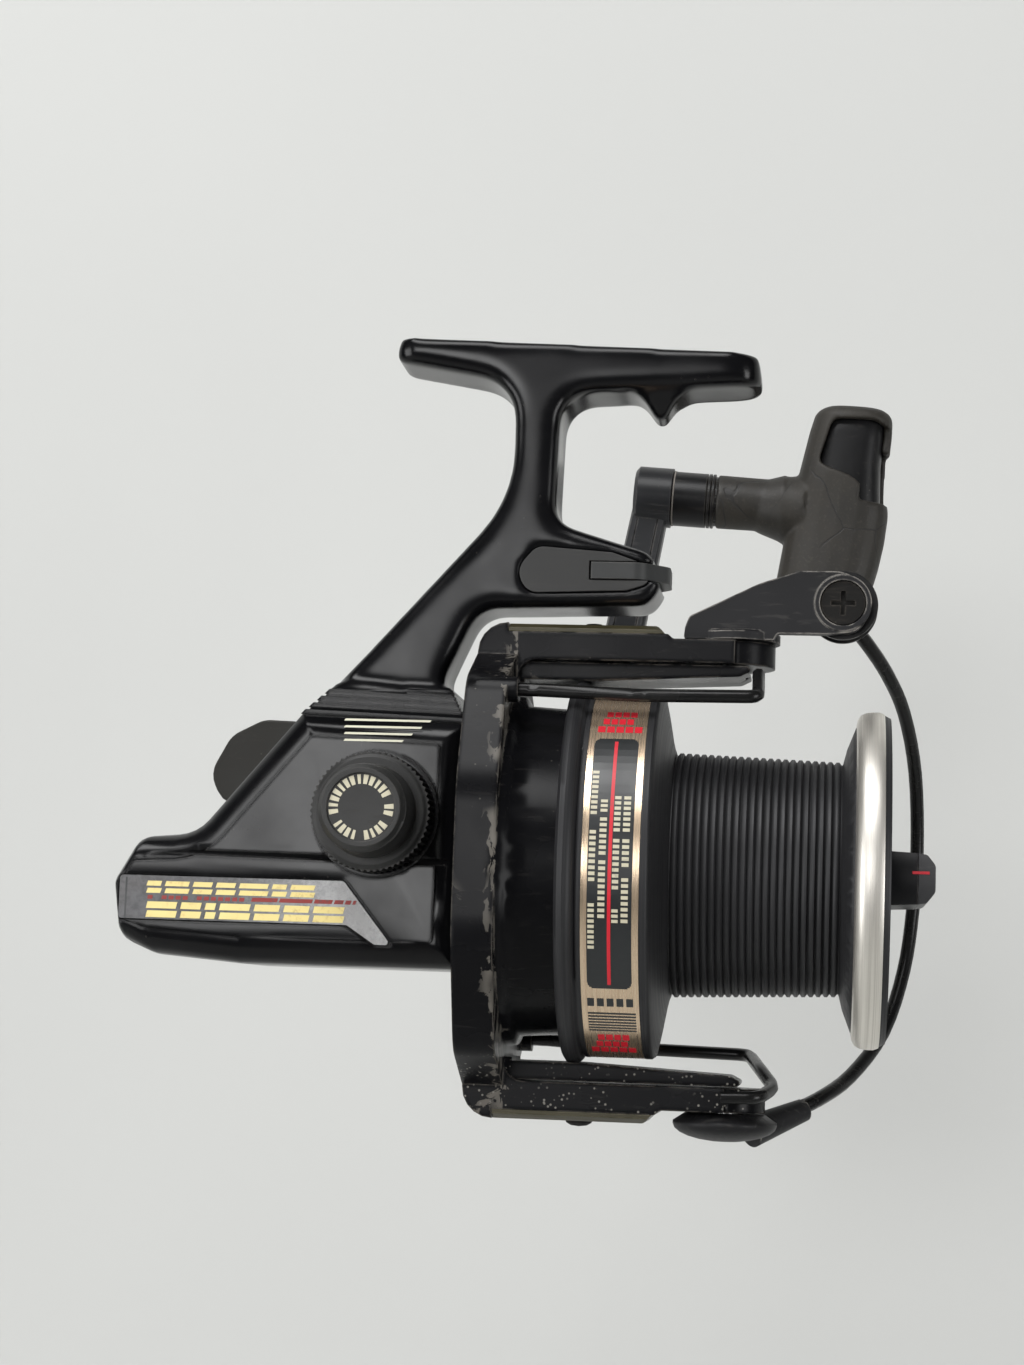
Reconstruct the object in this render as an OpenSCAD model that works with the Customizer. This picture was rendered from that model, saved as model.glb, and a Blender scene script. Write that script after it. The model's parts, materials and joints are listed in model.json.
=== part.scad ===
// Long-cast fixed-spool fishing reel: cast foot and gear case, U-shaped rotor with
// bail, ribbed tapered spool with a front drag knob, and a folding crank with a T-knob.
// +X points to the spool's front, +Z up to the rod and +Y to the crank's side.
// The origin is the middle of the foot's top face. Heights written with az() are
// measured from the spindle axis.

/* [Foot and stem] */
// Distance from the foot's face down to the spindle axis
axis_drop = 106.8; // [103:0.2:112]
// Length of the foot
foot_len = 76; // [70:0.5:84]
// Width of the foot and the stem
foot_w = 19; // [16:0.5:22]
// Forward fall of the foot against the spindle, in degrees
foot_rake = 2.2; // [0:0.1:3]
// Rounding along the edges of the stem
stem_edge = 2.2; // [1.6:0.1:2.4]
// Thickness of the inlay on the bumper arm
inlay_t = 1.4; // [1:0.1:2]

/* [Gear case] */
// Width of the gear case with its cover
case_w = 35; // [34:0.5:40]
// Rounding along the edges of the gear case
case_edge = 5; // [3:0.1:5.4]
// Wall of the gear case
case_wall = 3; // [2.5:0.1:3.6]
// Thickness of the side cover
cover_t = 3.8; // [3:0.1:5]
// Number of stepped ridges where the stem grows out of the case
ridge_count = 5; // [3:1:6]
// Drive shaft axis behind the foot's middle
drive_back = 35.5; // [34:0.1:37]
// Drive shaft axis above the spindle axis
drive_rise = 9.3; // [9:0.1:10.5]

/* [Drive] */
// Diameter of the drive shaft
drive_shaft_d = 8; // [7:0.2:8.6]
// Number of teeth of the drive gear
drive_teeth = 41; // [36:1:46]
// Outer diameter of the drive gear
drive_gear_d = 31; // [28:0.5:31.4]
// Number of teeth of the pinion
pinion_teeth = 10; // [8:1:12]
// Outer diameter of the pinion
pinion_d = 10; // [9:0.1:10.4]
// Diameter of the knurled cap's ring
cap_d = 23.6; // [21:0.2:26]
// Height of the knurled cap
cap_h = 16.9; // [13:0.1:19]

/* [Spindle] */
// Diameter of the main shaft
shaft_d = 6; // [5:0.1:6.4]
// Forward travel of the spool, and the same again rearward
stroke = 9; // [6:0.5:9]

/* [Spool] */
// Diameter of the front lip
lip_d = 67; // [62:0.5:69]
// Width of the front lip
lip_w = 6.8; // [5:0.1:8]
// Diameter of the rear skirt
skirt_d = 73; // [71:0.5:73.4]
// Wall of the skirt
skirt_wall = 1.8; // [1.4:0.1:2.2]
// Diameter of the barrel at the rear flange
barrel_d = 48.9; // [44:0.2:52]
// Diameter of the barrel at the front lip
barrel_front_d = 46.6; // [42:0.2:50]
// Length of the barrel between the flange and the lip's cone
barrel_len = 33.6; // [30:0.2:35]
// Number of ribs round the barrel
rib_count = 22; // [16:1:24]
// Height of a rib
rib_h = 0.55; // [0.3:0.05:0.8]
// Width of the label band round the skirt
band_w = 11.1; // [8:0.1:12]

/* [Rotor] */
// Thickness of a rotor arm with its cover strip
arm_t = 7.4; // [7:0.1:8.6]
// Thickness of the rotor's rear plate
plate_t = 8; // [7:0.1:8.6]
// Width of a rotor arm
arm_w = 19; // [17:0.5:21]
// Diameter of the bosses at the arm ends
boss_d = 15.8; // [14:0.2:16.4]
// Diameter of the line guard wires
guard_wire_d = 2.6; // [2:0.1:2.6]

/* [Bail] */
// Bail pivot in front of the foot's middle
pivot_x = 34; // [33:0.1:35]
// Diameter of the bail wire
bail_wire_d = 3; // [2.4:0.1:3.4]
// Thickness of the bail arm's plate
bail_plate_t = 2.6; // [2:0.1:3]
// Diameter of the line roller
roller_d = 14; // [12:0.2:14.6]

/* [Crank] */
// Distance from the spindle axis out to the folded crank
crank_out = 75; // [74:0.5:80]
// Length of the crank's shank from the fold to the elbow
shank_len = 31; // [28:0.5:34]
// Height of the knob's spindle above the drive axis
crank_len = 82.3; // [78:0.2:86]
// Width of the crank arm
crank_w = 8.2; // [7:0.1:9]
// Length of the T-knob's bar
knob_len = 50; // [46:0.5:52]
// Width of the T-knob's bar
knob_w = 21.4; // [18:0.2:22]
// Thickness of the T-knob
knob_t = 17; // [14:0.5:17]

/* [Hidden] */
$fn = 64;

// clearances
run_gap = 0.04;      // radial gap of a shaft in its bore
free_gap = 0.4;      // gap between pieces that pass each other
arm_gap = 3.5;       // gap between the spool's rim and a rotor arm, room for the guard wires
seat_gap = 0.05;     // gap of a piece seated in a pocket

// colours
black_paint = [0.07, 0.07, 0.08];
satin_grey = [0.24, 0.24, 0.24];
plate_grey = [0.42, 0.42, 0.42];
olive_rubber = [0.25, 0.23, 0.2];
steel = [0.72, 0.72, 0.72];
brass = [0.75, 0.62, 0.32];
gold = [0.78, 0.66, 0.45];

// gear case places
half_case = case_w / 2;
cover_y = half_case - cover_t;
case_front = -18.1;
case_top = 30;
case_floor = -20.8;
slope_x = -51.6;
ledge_x = -72.4;
ledge_z = 4.9;
tail_x = -88.4;
stem_half = foot_w / 2;
foot_corner = 6;
drive_x = -drive_back;
drive_z = drive_rise - axis_drop;
drive_shaft_r = drive_shaft_d / 2;
bearing_w = 5;
drive_bearing_r = 8;
pinion_bearing_r = 9.5;
nose_r = pinion_bearing_r + 3;
boss_out = 6.5;

// spindle and rotor places
shaft_r = shaft_d / 2;
plate_x = case_front + 0.6;
cup_x = plate_x + plate_t;
nose_front = plate_x + plate_t - 3.7;
rim_r = skirt_d / 2 + 1.9;
arm_in = rim_r + arm_gap;
arm_reach = arm_in + arm_t;
arm_step = arm_reach - 2.7;
cover_end = pivot_x - 14;
cover_start = cup_x - 1.9;
boss_r = boss_d / 2;
half_arm = arm_w / 2;
arm_screw_x = 5;
cup_r = skirt_d / 2 - skirt_wall - 1.9;

// spool places
rim_x = 2;
skirt_r = skirt_d / 2 + 0.4;
band_x = rim_x + 5;
flange_x = band_x + band_w + 2;
barrel_x = flange_x + 2.4;
barrel_end = barrel_x + barrel_len;
barrel_r = barrel_d / 2;
barrel_front_r = barrel_front_d / 2;
lip_x = barrel_end + 2.2;
lip_r = lip_d / 2;
front_x = lip_x + lip_w;
drag_pocket_r = 15;
drag_pocket_x = front_x - 22;
washer_t = 1.2;
washer_count = 6;

// crank places
knob_tilt = 3.6;
elbow_x = drive_x + shank_len;
hub_z = drive_z + crank_len;
lean = 10.9;
hub_x = elbow_x + crank_len * tan(lean);

function az(h) = h - axis_drop;
function trip(h) = az(arm_reach + h);
function unit(v) = v / norm(v);
function left_of(v) = [-v[1], v[0]];
function flat(p) = [p[0], p[1]];
function wrap(i, n) = (i + n) % n;

// Points of the arc of radius r that rounds corner p between its neighbours a and b
function corner_arc(a, p, b, r, n) =
    let (u = unit(a - p), w = unit(b - p), half = acos(u * w) / 2)
    let (c = p + unit(u + w) * r / sin(half), s = p + u * r / tan(half), e = p + w * r / tan(half))
    let (from = atan2(s[1] - c[1], s[0] - c[0]), to = atan2(e[1] - c[1], e[0] - c[0]))
    let (turn = to - from > 180 ? to - from - 360 : to - from < -180 ? to - from + 360 : to - from)
    [for (i = [0:n]) c + r * [cos(from + turn * i / n), sin(from + turn * i / n)]];

// Outline with rounded corners, from a list of [x, y, corner radius]
function rounded(pts, n = 5) =
    let (m = len(pts))
    [for (i = [0:m - 1]) each (pts[i][2] <= 0 ? [flat(pts[i])] :
        corner_arc(flat(pts[wrap(i - 1, m)]), flat(pts[i]), flat(pts[wrap(i + 1, m)]), pts[i][2], n))];

// The same corners moved inward by d, for an outline that runs counter-clockwise
function inset(pts, d) =
    let (m = len(pts))
    [for (i = [0:m - 1])
        let (p = flat(pts[i]), u = unit(p - flat(pts[wrap(i - 1, m)])))
        let (w = unit(flat(pts[wrap(i + 1, m)]) - p), n1 = left_of(u), n2 = left_of(w))
        let (q = p + (n1 + n2) * d / (1 + n1 * n2), bulge = u[0] * w[1] - u[1] * w[0] > 0)
        [q[0], q[1], max(0.6, pts[i][2] + (bulge ? -d : d))]];

// Solid between two planes across Y, with an outline in X and Z and rounded edges: a flat
// core inside a rounded band. Behind sharp_x the edges are rounded less along X.
function slab_outline(pts, d, n, sharp_x) = [for (p = rounded(inset(pts, d), n))
    [p[0] - (p[0] < sharp_x ? 0.75 * d * min(1, (sharp_x - p[0]) / 5) : 0), p[1]]];
module soft_slab(pts, y0, y1, edge, n = 5, steps = 4, sharp_x = -1000) {
    turns = [for (k = [0:steps]) edge * [1 - sin(90 * k / steps), 1 - cos(90 * k / steps)]];
    levels = concat(
        [for (t = turns) [t[0], y0 + t[1]]],
        [for (k = [steps:-1:0]) [turns[k][0], y1 - turns[k][1]]],
        [[edge + 0.6, y1 - 0.8], [edge + 0.6, y0 + 0.8]]);
    ring_loft([for (l = levels) [for (p = slab_outline(pts, l[0], n, sharp_x)) [p[0], l[1], p[1]]]]);
    plate_xz(slab_outline(pts, edge + 0.3, n, sharp_x), y0 - 0.02, y1 + 0.02);
}

// Closed skin over rings whose last one joins the first
module ring_loft(rings) {
    m = len(rings[0]);
    count = len(rings);
    polyhedron(
        points = [for (r = rings) each r],
        faces = concat(
            [for (k = [0:count - 1], i = [0:m - 1])
                [k * m + i, k * m + wrap(i + 1, m), wrap(k + 1, count) * m + wrap(i + 1, m)]],
            [for (k = [0:count - 1], i = [0:m - 1])
                [k * m + i, wrap(k + 1, count) * m + wrap(i + 1, m), wrap(k + 1, count) * m + i]]
        )
    );
}

// Closed skin over rings that have the same number of points
module loft(rings) {
    m = len(rings[0]);
    last = len(rings) - 1;
    polyhedron(
        points = [for (r = rings) each r],
        faces = concat(
            [[for (i = [m - 1:-1:0]) i]],
            [[for (i = [0:m - 1]) last * m + i]],
            [for (k = [0:last - 1], i = [0:m - 1]) [k * m + i, k * m + wrap(i + 1, m), (k + 1) * m + wrap(i + 1, m)]],
            [for (k = [0:last - 1], i = [0:m - 1]) [k * m + i, (k + 1) * m + wrap(i + 1, m), (k + 1) * m + i]]
        )
    );
}

// Point of a smooth curve through pts, between point i and the next
function curve_point(pts, i, t) =
    let (m = len(pts) - 1, a = pts[max(0, i - 1)], b = pts[i], c = pts[min(m, i + 1)], d = pts[min(m, i + 2)])
    0.5 * (2 * b + (c - a) * t + (2 * a - 5 * b + 4 * c - d) * t * t + (3 * b - a - 3 * c + d) * t * t * t);
function smooth_path(pts, n) = concat(
    [for (i = [0:len(pts) - 2], k = [0:n - 1]) curve_point(pts, i, k / n)], [pts[len(pts) - 1]]);

// Path with its inner corners rounded by arcs that reach cut along each leg
function bent_path(pts, cut, n) = concat([pts[0]],
    [for (i = [1:len(pts) - 2]) each
        let (p = pts[i], s = p + unit(pts[i - 1] - p) * cut, e = p + unit(pts[i + 1] - p) * cut)
        [for (k = [0:n]) let (t = k / n) s * (1 - t) * (1 - t) + p * 2 * t * (1 - t) + e * t * t]],
    [pts[len(pts) - 1]]);

// Round wire along a path: every ring is turned from the one before it
function path_dir(path, i) = unit(path[min(len(path) - 1, i + 1)] - path[max(0, i - 1)]);
function carried(path, i, side) =
    i == len(path) ? [] :
    let (d = path_dir(path, i), s = unit(side - d * (side * d)))
    concat([s], carried(path, i + 1, s));
module wire(path, r, sides = 8, side = [0, 0, 1]) {
    across = carried(path, 0, side);
    loft([for (i = [0:len(path) - 1]) let (d = path_dir(path, i), s = across[i], t = cross(d, s))
        [for (k = [0:sides - 1]) path[i] + r * (s * cos(360 * k / sides) - t * sin(360 * k / sides))]]);
}

// cylinders along X and along Y, and a revolved profile of [x, radius] round the spindle
module bar_x(x0, x1, r) { translate([x0, 0, 0]) rotate([0, 90, 0]) cylinder(h = x1 - x0, r = r); }
module bar_y(y0, y1, r) { translate([0, y0, 0]) rotate([-90, 0, 0]) cylinder(h = y1 - y0, r = r); }
module turned(profile) { rotate([90, 0, 90]) rotate_extrude($fn = 96) polygon([for (p = profile) [p[1], p[0]]]); }
module at_axis() { translate([0, 0, -axis_drop]) children(); }
module at_drive() { translate([drive_x, 0, drive_z]) children(); }
module plate_xz(pts, y0, y1) {
    translate([0, y1, 0]) rotate([90, 0, 0]) linear_extrude(y1 - y0) polygon(pts);
}
// Upper half's shape, or its copy turned half way round the spindle
module half_turn(turned_over) { rotate([turned_over ? 180 : 0, 0, 0]) children(); }

// Disc with flank-to-flank teeth, its axis along Z
module toothed(r, depth, teeth, h) {
    linear_extrude(h) polygon([for (i = [0:4 * teeth - 1])
        let (a = 90 * i / teeth, q = i % 4 < 2 ? r : r - depth) q * [cos(a), sin(a)]]);
}
// Cylinder from point p to point q
module strut(p, q, r0, r1) {
    v = q - p;
    translate(p) rotate([0, acos(v[2] / norm(v)), atan2(v[1], v[0])]) cylinder(h = norm(v), r1 = r0, r2 = r1);
}

// Ball bearing along Z: inner and outer race with a ball cage between them
module bearing(bore_r, outer_r, w) {
    mid = (bore_r + outer_r) / 2;
    rotate_extrude() difference() {
        translate([bore_r, 0]) square([outer_r - bore_r, w]);
        translate([mid - 1, -0.1]) square([2, 0.7]);
        translate([mid - 1, w - 0.6]) square([2, 0.7]);
    }
}

// ---- foot, stem and gear case ----

stem_pts = [
    [foot_len / 2 - 1.8, 4.5, 0.5],
    [-foot_len / 2 + 2.8, 6.5, 0.5],
    [-foot_len / 2 + 0.8, -3.4, 1.2],
    [-12, -7.8, 9],
    [-11.7, -31.5, 26],
    [slope_x, az(case_top), 0.5],
    [slope_x + 6, az(case_top - 7), 0.5],
    [-22, az(case_top - 7), 0.5],
    [-24.6, trip(-11.3), 5],
    [-18.2, trip(3.1), 6.5],
    [16.6, trip(4.1), 4],
    [19.7, trip(9.3), 3],
    [16.4, trip(14.9), 4],
    [-3.2, trip(20.9), 5],
    [-2.5, -9.9, 6.5],
    [foot_len / 2 + 0.3, -7.8, 1],
];

case_pts = [
    [case_front, az(case_floor), 0.5],
    [case_front, az(case_top - 1.5), 0.5],
    [slope_x, az(case_top), 0.5],
    [ledge_x, az(ledge_z), 9],
    [tail_x + 5, az(3.9), 4],
    [tail_x, az(-5), 4.5],
    [tail_x + 1.6, az(-16.4), 4.5],
    [-79.6, az(case_floor + 1.4), 8],
    [-62, az(case_floor), 8],
];

spike_pts = [[9.6, -7.4, 0], [14.2, -10.8, 3], [16.8, -14.7, 0.5], [18.3, -14.7, 0.5], [20.4, -10.8, 3], [25.5, -7.4, 0]];
spike_section = [[-8.5, -7], [-4, -15], [4, -15], [8.5, -7]];
inlay_pts = [
    [-8, trip(6), 3.5], [12, trip(6.7), 1.5], [16.4, trip(8.1), 2], [16.8, trip(11.9), 2],
    [9, trip(14.6), 3], [-6.4, trip(15.7), 3.5], [-10.6, trip(10.7), 4],
];
bumper_z = trip(10.8);
bumper_h = 3.7;
plate_pts = [
    [tail_x + 1.6, az(-12.9), 1], [tail_x + 1.6, az(-3.8), 1], [-41.3, az(-3.8), 1.5],
    [-31, az(-16.6), 0.4], [-34.9, az(-16.6), 0.4], [-40.6, az(-12.9), 1.5],
];
plate_t_side = 1.2;

screw_places = [[-22.2, 24], [-23, -15.5], [-82, -1], [-46.5, 25.2]];
post_r = 3.2;
screw_r = 1.5;
oscillation_x = -60;
oscillation_z = -4;
rod_y = -8.5;
rod_z = -9;
rod_r = 1.6;
pawl_x = -54.5;
pawl_z = 15.5;
pawl_pin_r = 1.5;
lever_x = -53.5;
lever_z = 20;
lever_pin_r = 2.4;
drive_gear_r = drive_gear_d / 2;
pinion_r = pinion_d / 2;
gear_y = pinion_r + free_gap;
gear_t = 4.5;
ratchet_r = 11.6;
ratchet_t = 2;
cavity_y = -half_case + case_wall;
oscillation_gap = norm([oscillation_x - drive_x, oscillation_z - drive_rise]);
oscillation_r = oscillation_gap - drive_gear_r - free_gap;
oscillation_teeth = round(drive_teeth * oscillation_r / drive_gear_r);

module foot_face_cut() {
    rotate([0, foot_rake, 0]) translate([-100, -50, 0]) cube([200, 100, 30]);
}

// What rounds one corner of the foot, seen from above
module foot_corner_cut(end, side) {
    scale([end, side, 1]) translate([foot_len / 2 - foot_corner, stem_half - foot_corner, -12]) difference() {
        cube([20, 20, 30]);
        translate([0, 0, -1]) cylinder(h = 32, r = foot_corner);
    }
}

module stem() {
    difference() {
        union() {
            soft_slab(stem_pts, -stem_half, stem_half, stem_edge, 5, 3);
            intersection() {
                plate_xz(rounded(spike_pts), -stem_half, stem_half);
                rotate([90, 0, 90]) linear_extrude(60) polygon(spike_section);
            }
        }
        foot_face_cut();
        for (end = [-1, 1], side = [-1, 1]) foot_corner_cut(end, side);
    }
}

module ridges() {
    step = (half_case - stem_half - 1) / (ridge_count + 1);
    rise = 7.6 / ridge_count;
    for (i = [0:ridge_count - 1]) {
        w = half_case - case_edge * 0.25 - step * (i + 0.6);
        low = case_top - 0.8 + rise * i;
        back = slope_x + 0.4 + (low - case_top) * 0.88;
        front = case_front - 0.6 - 0.55 * rise * i;
        crest = [[back, az(low)], [front, az(low - 1.2)], [front, az(low - 1.2 + rise * 0.62)],
            [back + rise * 0.6, az(low + rise * 0.62)]];
        groove = [[back + 0.5, az(low)], [front - 0.5, az(low - 1.2)], [front - 0.5, az(low - 1.2 + rise * 1.1)],
            [back + rise * 1.1 + 0.5, az(low + rise * 1.1)]];
        plate_xz(crest, -w, w);
        plate_xz(groove, -w + 0.9, w - 0.9);
    }
}

module screw_holes() {
    for (p = screw_places) translate([p[0], 0, az(p[1])]) bar_y(cover_y - 8, cover_y + 1, screw_r + seat_gap);
}
module case_slab() { soft_slab(case_pts, -half_case, half_case, case_edge, 4, 4, ledge_x - 3); }

module housing() color(black_paint) {
    difference() {
        union() {
            stem();
            difference() {
                union() {
                    ridges();
                    case_slab();
                }
                translate([-150, cover_y, -200]) cube([200, 60, 200 + az(case_top) + free_gap]);
            }
            at_drive() bar_y(-half_case - 1.1, -half_case + 1, cap_d / 2 + 0.8);
        }
        // gear chamber, open to the side cover
        plate_xz(rounded(inset(case_pts, case_wall), 4), cavity_y, cover_y + 1);
        at_drive() bar_y(gear_y - 0.6, cover_y + 1, drive_gear_r + free_gap);
        // pocket of the side plate and the groove above it
        plate_xz(rounded(plate_pts), -half_case - 1, -half_case + plate_t_side - 0.4);
        plate_xz([[tail_x + 8, az(0.4)], [case_front + 1, az(-0.6)], [case_front + 1, az(0.8)], [tail_x + 16, az(1.2)]],
            -half_case - 1, -half_case + 0.6);
        // pocket of the bumper arm's inlay and the slot of its bumper
        for (side = [-1, 1])
            plate_xz(rounded(inlay_pts), side * stem_half - inlay_t, side * stem_half + inlay_t);
        translate([4.6, -30, bumper_z - bumper_h / 2]) cube([30, 60, bumper_h]);
        // drive bearing seat and shaft hole, spindle hole
        at_drive() bar_y(-half_case + 0.6, cavity_y + 5, drive_bearing_r + seat_gap);
        at_drive() bar_y(-half_case - 3, -half_case + 3, drive_shaft_r + 1);
        at_axis() bar_x(case_front - 8, case_front + 1, pinion_r + 0.8);
        at_axis() bar_x(nose_front - 1.3 - bearing_w, nose_front, pinion_bearing_r + seat_gap);
        at_axis() translate([0, rod_y, rod_z]) bar_x(case_front - case_wall - 1, case_front - 1, rod_r + seat_gap);
        screw_holes();
    }
    difference() {
        union() {
            // bumper core that the slot leaves, screw posts, bearing boss and rod post
            translate([4, -stem_half + inlay_t + 0.2, bumper_z - bumper_h / 2 - 0.6])
                cube([12, foot_w - 2 * inlay_t - 0.4, bumper_h + 1.2]);
            for (p = screw_places)
                translate([p[0], 0, az(p[1])]) bar_y(-half_case + case_wall - 0.5, cover_y, post_r);
            at_drive() bar_y(-half_case + case_wall - 0.5, cavity_y + 2.2, drive_bearing_r + 2.4);
            translate([-80, -half_case + case_wall - 0.5, az(rod_z) - 3]) cube([3, rod_y - cavity_y + 3, 6]);
            // bearing nose in front of the case
            at_axis() bar_x(case_front - 0.5, nose_front, nose_r);
        }
        screw_holes();
        at_drive() bar_y(-half_case + 0.6, cavity_y + 5, drive_bearing_r + seat_gap);
        at_axis() bar_x(nose_front - 1.3 - bearing_w, nose_front + 1, pinion_bearing_r + seat_gap);
        at_axis() bar_x(nose_front - 1.2, nose_front - 0.4, pinion_bearing_r + 0.6);
        at_axis() bar_x(case_front - 8, case_front + 1, pinion_r + 0.8);
        at_axis() translate([0, rod_y, rod_z]) bar_x(-81, -76, rod_r + seat_gap);
    }
}

module side_cover() color(black_paint) {
    difference() {
        union() {
            intersection() {
                case_slab();
                translate([-150, cover_y + seat_gap, -200]) cube([200, 60, 200]);
            }
            at_drive() translate([0, half_case - 1, 0]) rotate([-90, 0, 0])
                cylinder(h = boss_out + 1, r1 = drive_bearing_r + 5, r2 = drive_bearing_r + 2.6);
        }
        at_drive() bar_y(half_case + boss_out - bearing_w, half_case + boss_out + 1, drive_bearing_r + seat_gap);
        at_drive() bar_y(cover_y - 1, half_case + boss_out, drive_shaft_r + 1);
        for (p = screw_places) translate([p[0], 0, az(p[1])]) {
            bar_y(cover_y - 1, half_case + 1, screw_r + 0.15);
            bar_y(half_case - 1.6, half_case + 1, screw_r + 1.4);
        }
        translate([lever_x, 0, az(lever_z)]) bar_y(cover_y - 1, half_case + 1, lever_pin_r + run_gap);
    }
    translate([oscillation_x, 0, az(oscillation_z)]) bar_y(gear_y - 0.2, cover_y + 1, 2);
    translate([pawl_x, 0, az(pawl_z)]) bar_y(gear_y + gear_t + 0.1, cover_y + 1, pawl_pin_r);
}

module cover_screws() color(steel) {
    for (p = screw_places) translate([p[0], 0, az(p[1])]) difference() {
        union() {
            bar_y(cover_y - 6, half_case - 1, screw_r);
            bar_y(half_case - 1.55, half_case - 0.1, screw_r + 1.2);
        }
        for (a = [0, 90]) rotate([0, a, 0]) translate([-1.7, half_case - 0.9, -0.3]) cube([3.4, 2, 0.6]);
    }
}

module side_plate() color(plate_grey) {
    plate_xz(rounded(inset([for (i = [len(plate_pts) - 1:-1:0]) plate_pts[i]], 0.25)),
        -half_case - 0.1, -half_case + plate_t_side - 0.5);
}

module arm_inlay() color(satin_grey) {
    for (side = [-1, 1]) difference() {
        plate_xz(rounded(inset(inlay_pts, 0.12)), side > 0 ? stem_half - inlay_t + 0.02 : -stem_half - 0.2,
            side > 0 ? stem_half + 0.2 : -stem_half + inlay_t - 0.02);
        translate([4.4, -30, bumper_z - bumper_h / 2 - 0.1]) cube([30, 60, bumper_h + 0.2]);
    }
}

module trip_bumper() color(satin_grey) {
    low = bumper_z - bumper_h / 2 + 0.15;
    out = stem_half + 0.5;
    translate([0, 0, low]) linear_extrude(bumper_h - 0.3) difference() {
        polygon(rounded([[4.8, -out, 0], [15, -out, 4], [20.4, -4, 3], [20.4, 4, 3], [15, out, 4], [4.8, out, 0]]));
        polygon([[4, -stem_half + inlay_t + 0.1], [16.5, -stem_half + inlay_t + 0.1],
            [16.5, stem_half - inlay_t - 0.1], [4, stem_half - inlay_t - 0.1]]);
    }
}

// ---- bearings, guide rod, anti-reverse and oscillation ----

module near_bearing() color(steel) at_drive() translate([0, -half_case + 0.65, 0])
    rotate([-90, 0, 0]) bearing(drive_shaft_r + run_gap, drive_bearing_r, bearing_w);

module far_bearing() color(steel) at_drive() translate([0, half_case + boss_out - bearing_w, 0])
    rotate([-90, 0, 0]) bearing(drive_shaft_r + run_gap, drive_bearing_r, bearing_w);

module pinion_bearing() color(steel) at_axis() translate([nose_front - 1.25 - bearing_w, 0, 0])
    rotate([0, 90, 0]) bearing(pinion_r + run_gap, pinion_bearing_r, bearing_w);

module bearing_clip() color(steel) at_axis() translate([nose_front - 1.15, 0, 0]) rotate([0, 90, 0])
    linear_extrude(0.7) difference() {
        circle(r = pinion_bearing_r + 0.5);
        circle(r = pinion_bearing_r - 1.1);
        translate([0, -1.5]) square([20, 3]);
    }

module guide_rod() color(steel) at_axis() translate([0, rod_y, rod_z])
    bar_x(-80, case_front - 1.2, rod_r);

module anti_reverse_lever() color(olive_rubber) {
    outline = [[-4, -4.4, 3], [4.4, -3, 3], [4.4, 4.4, 3], [-6, 9.2, 4], [-12.6, 9.4, 4], [-18.4, 6.4, 4],
        [-22, -0.4, 3.5], [-19.4, -5.6, 3.4], [-14.6, -4.4, 3]];
    translate([lever_x, 0, az(lever_z)]) {
        soft_slab([for (i = [len(outline) - 1:-1:0]) outline[i]], half_case + 0.4, half_case + 5.4, 1.4, 4, 2);
        bar_y(cover_y + 0.2, half_case + 1, lever_pin_r);
    }
}

module pawl() color(steel) {
    aim = atan2(drive_rise - pawl_z, drive_x - pawl_x);
    reach = norm([drive_x - pawl_x, drive_rise - pawl_z]) - ratchet_r - free_gap;
    translate([pawl_x, 0, az(pawl_z)]) rotate([0, -aim, 0]) difference() {
        union() {
            bar_y(gear_y + gear_t + 0.3, gear_y + gear_t + 0.3 + ratchet_t, pawl_pin_r + 1.3);
            plate_xz([[0, -2], [reach - 1.2, -1.1], [reach, 0.6], [reach - 0.6, 1.4], [0, 2.4]],
                gear_y + gear_t + 0.3, gear_y + gear_t + 0.3 + ratchet_t);
        }
        bar_y(0, half_case, pawl_pin_r + run_gap);
    }
}

module oscillation_gear() color(brass) translate([oscillation_x, 0, az(oscillation_z)]) difference() {
    translate([0, gear_y + 3, 0]) rotate([90, 0, 0]) toothed(oscillation_r, 1.1, oscillation_teeth, 3);
    bar_y(0, half_case, 2 + run_gap);
    for (a = [0:60:300]) rotate([0, a, 0]) translate([oscillation_r * 0.55, 0, 0]) bar_y(0, half_case, 1.6);
}

// ---- drive gear, its shaft, cap and handle base ----

module drive_gear() color(brass) at_drive() difference() {
    union() {
        bar_y(gear_y + 1.2, gear_y + gear_t, drive_gear_r);
        // face teeth towards the pinion
        translate([0, gear_y + 1.3, 0]) rotate([90, 0, 0]) difference() {
            toothed(drive_gear_r - 0.1, 4.6, drive_teeth, 1.3);
            translate([0, 0, -1]) cylinder(h = 4, r = drive_gear_r - 4.5);
        }
        bar_y(gear_y, gear_y + gear_t, drive_shaft_r + 2);
        bar_y(-half_case + 0.3, half_case + boss_out + 0.5, drive_shaft_r);
    }
    bar_y(-half_case - 1, half_case + boss_out + 1, drive_shaft_r - 1.4);
}

module ratchet_wheel() color(steel) at_drive() translate([0, gear_y + gear_t + 0.3 + ratchet_t, 0]) rotate([90, 0, 0])
    linear_extrude(ratchet_t) difference() {
        polygon([for (i = [0:35]) let (a = 10 * i, q = i % 3 == 0 ? ratchet_r : i % 3 == 1 ? ratchet_r - 0.9 : ratchet_r - 2)
            q * [cos(a), sin(a)]]);
        circle(r = drive_shaft_r + seat_gap);
    }

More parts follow.
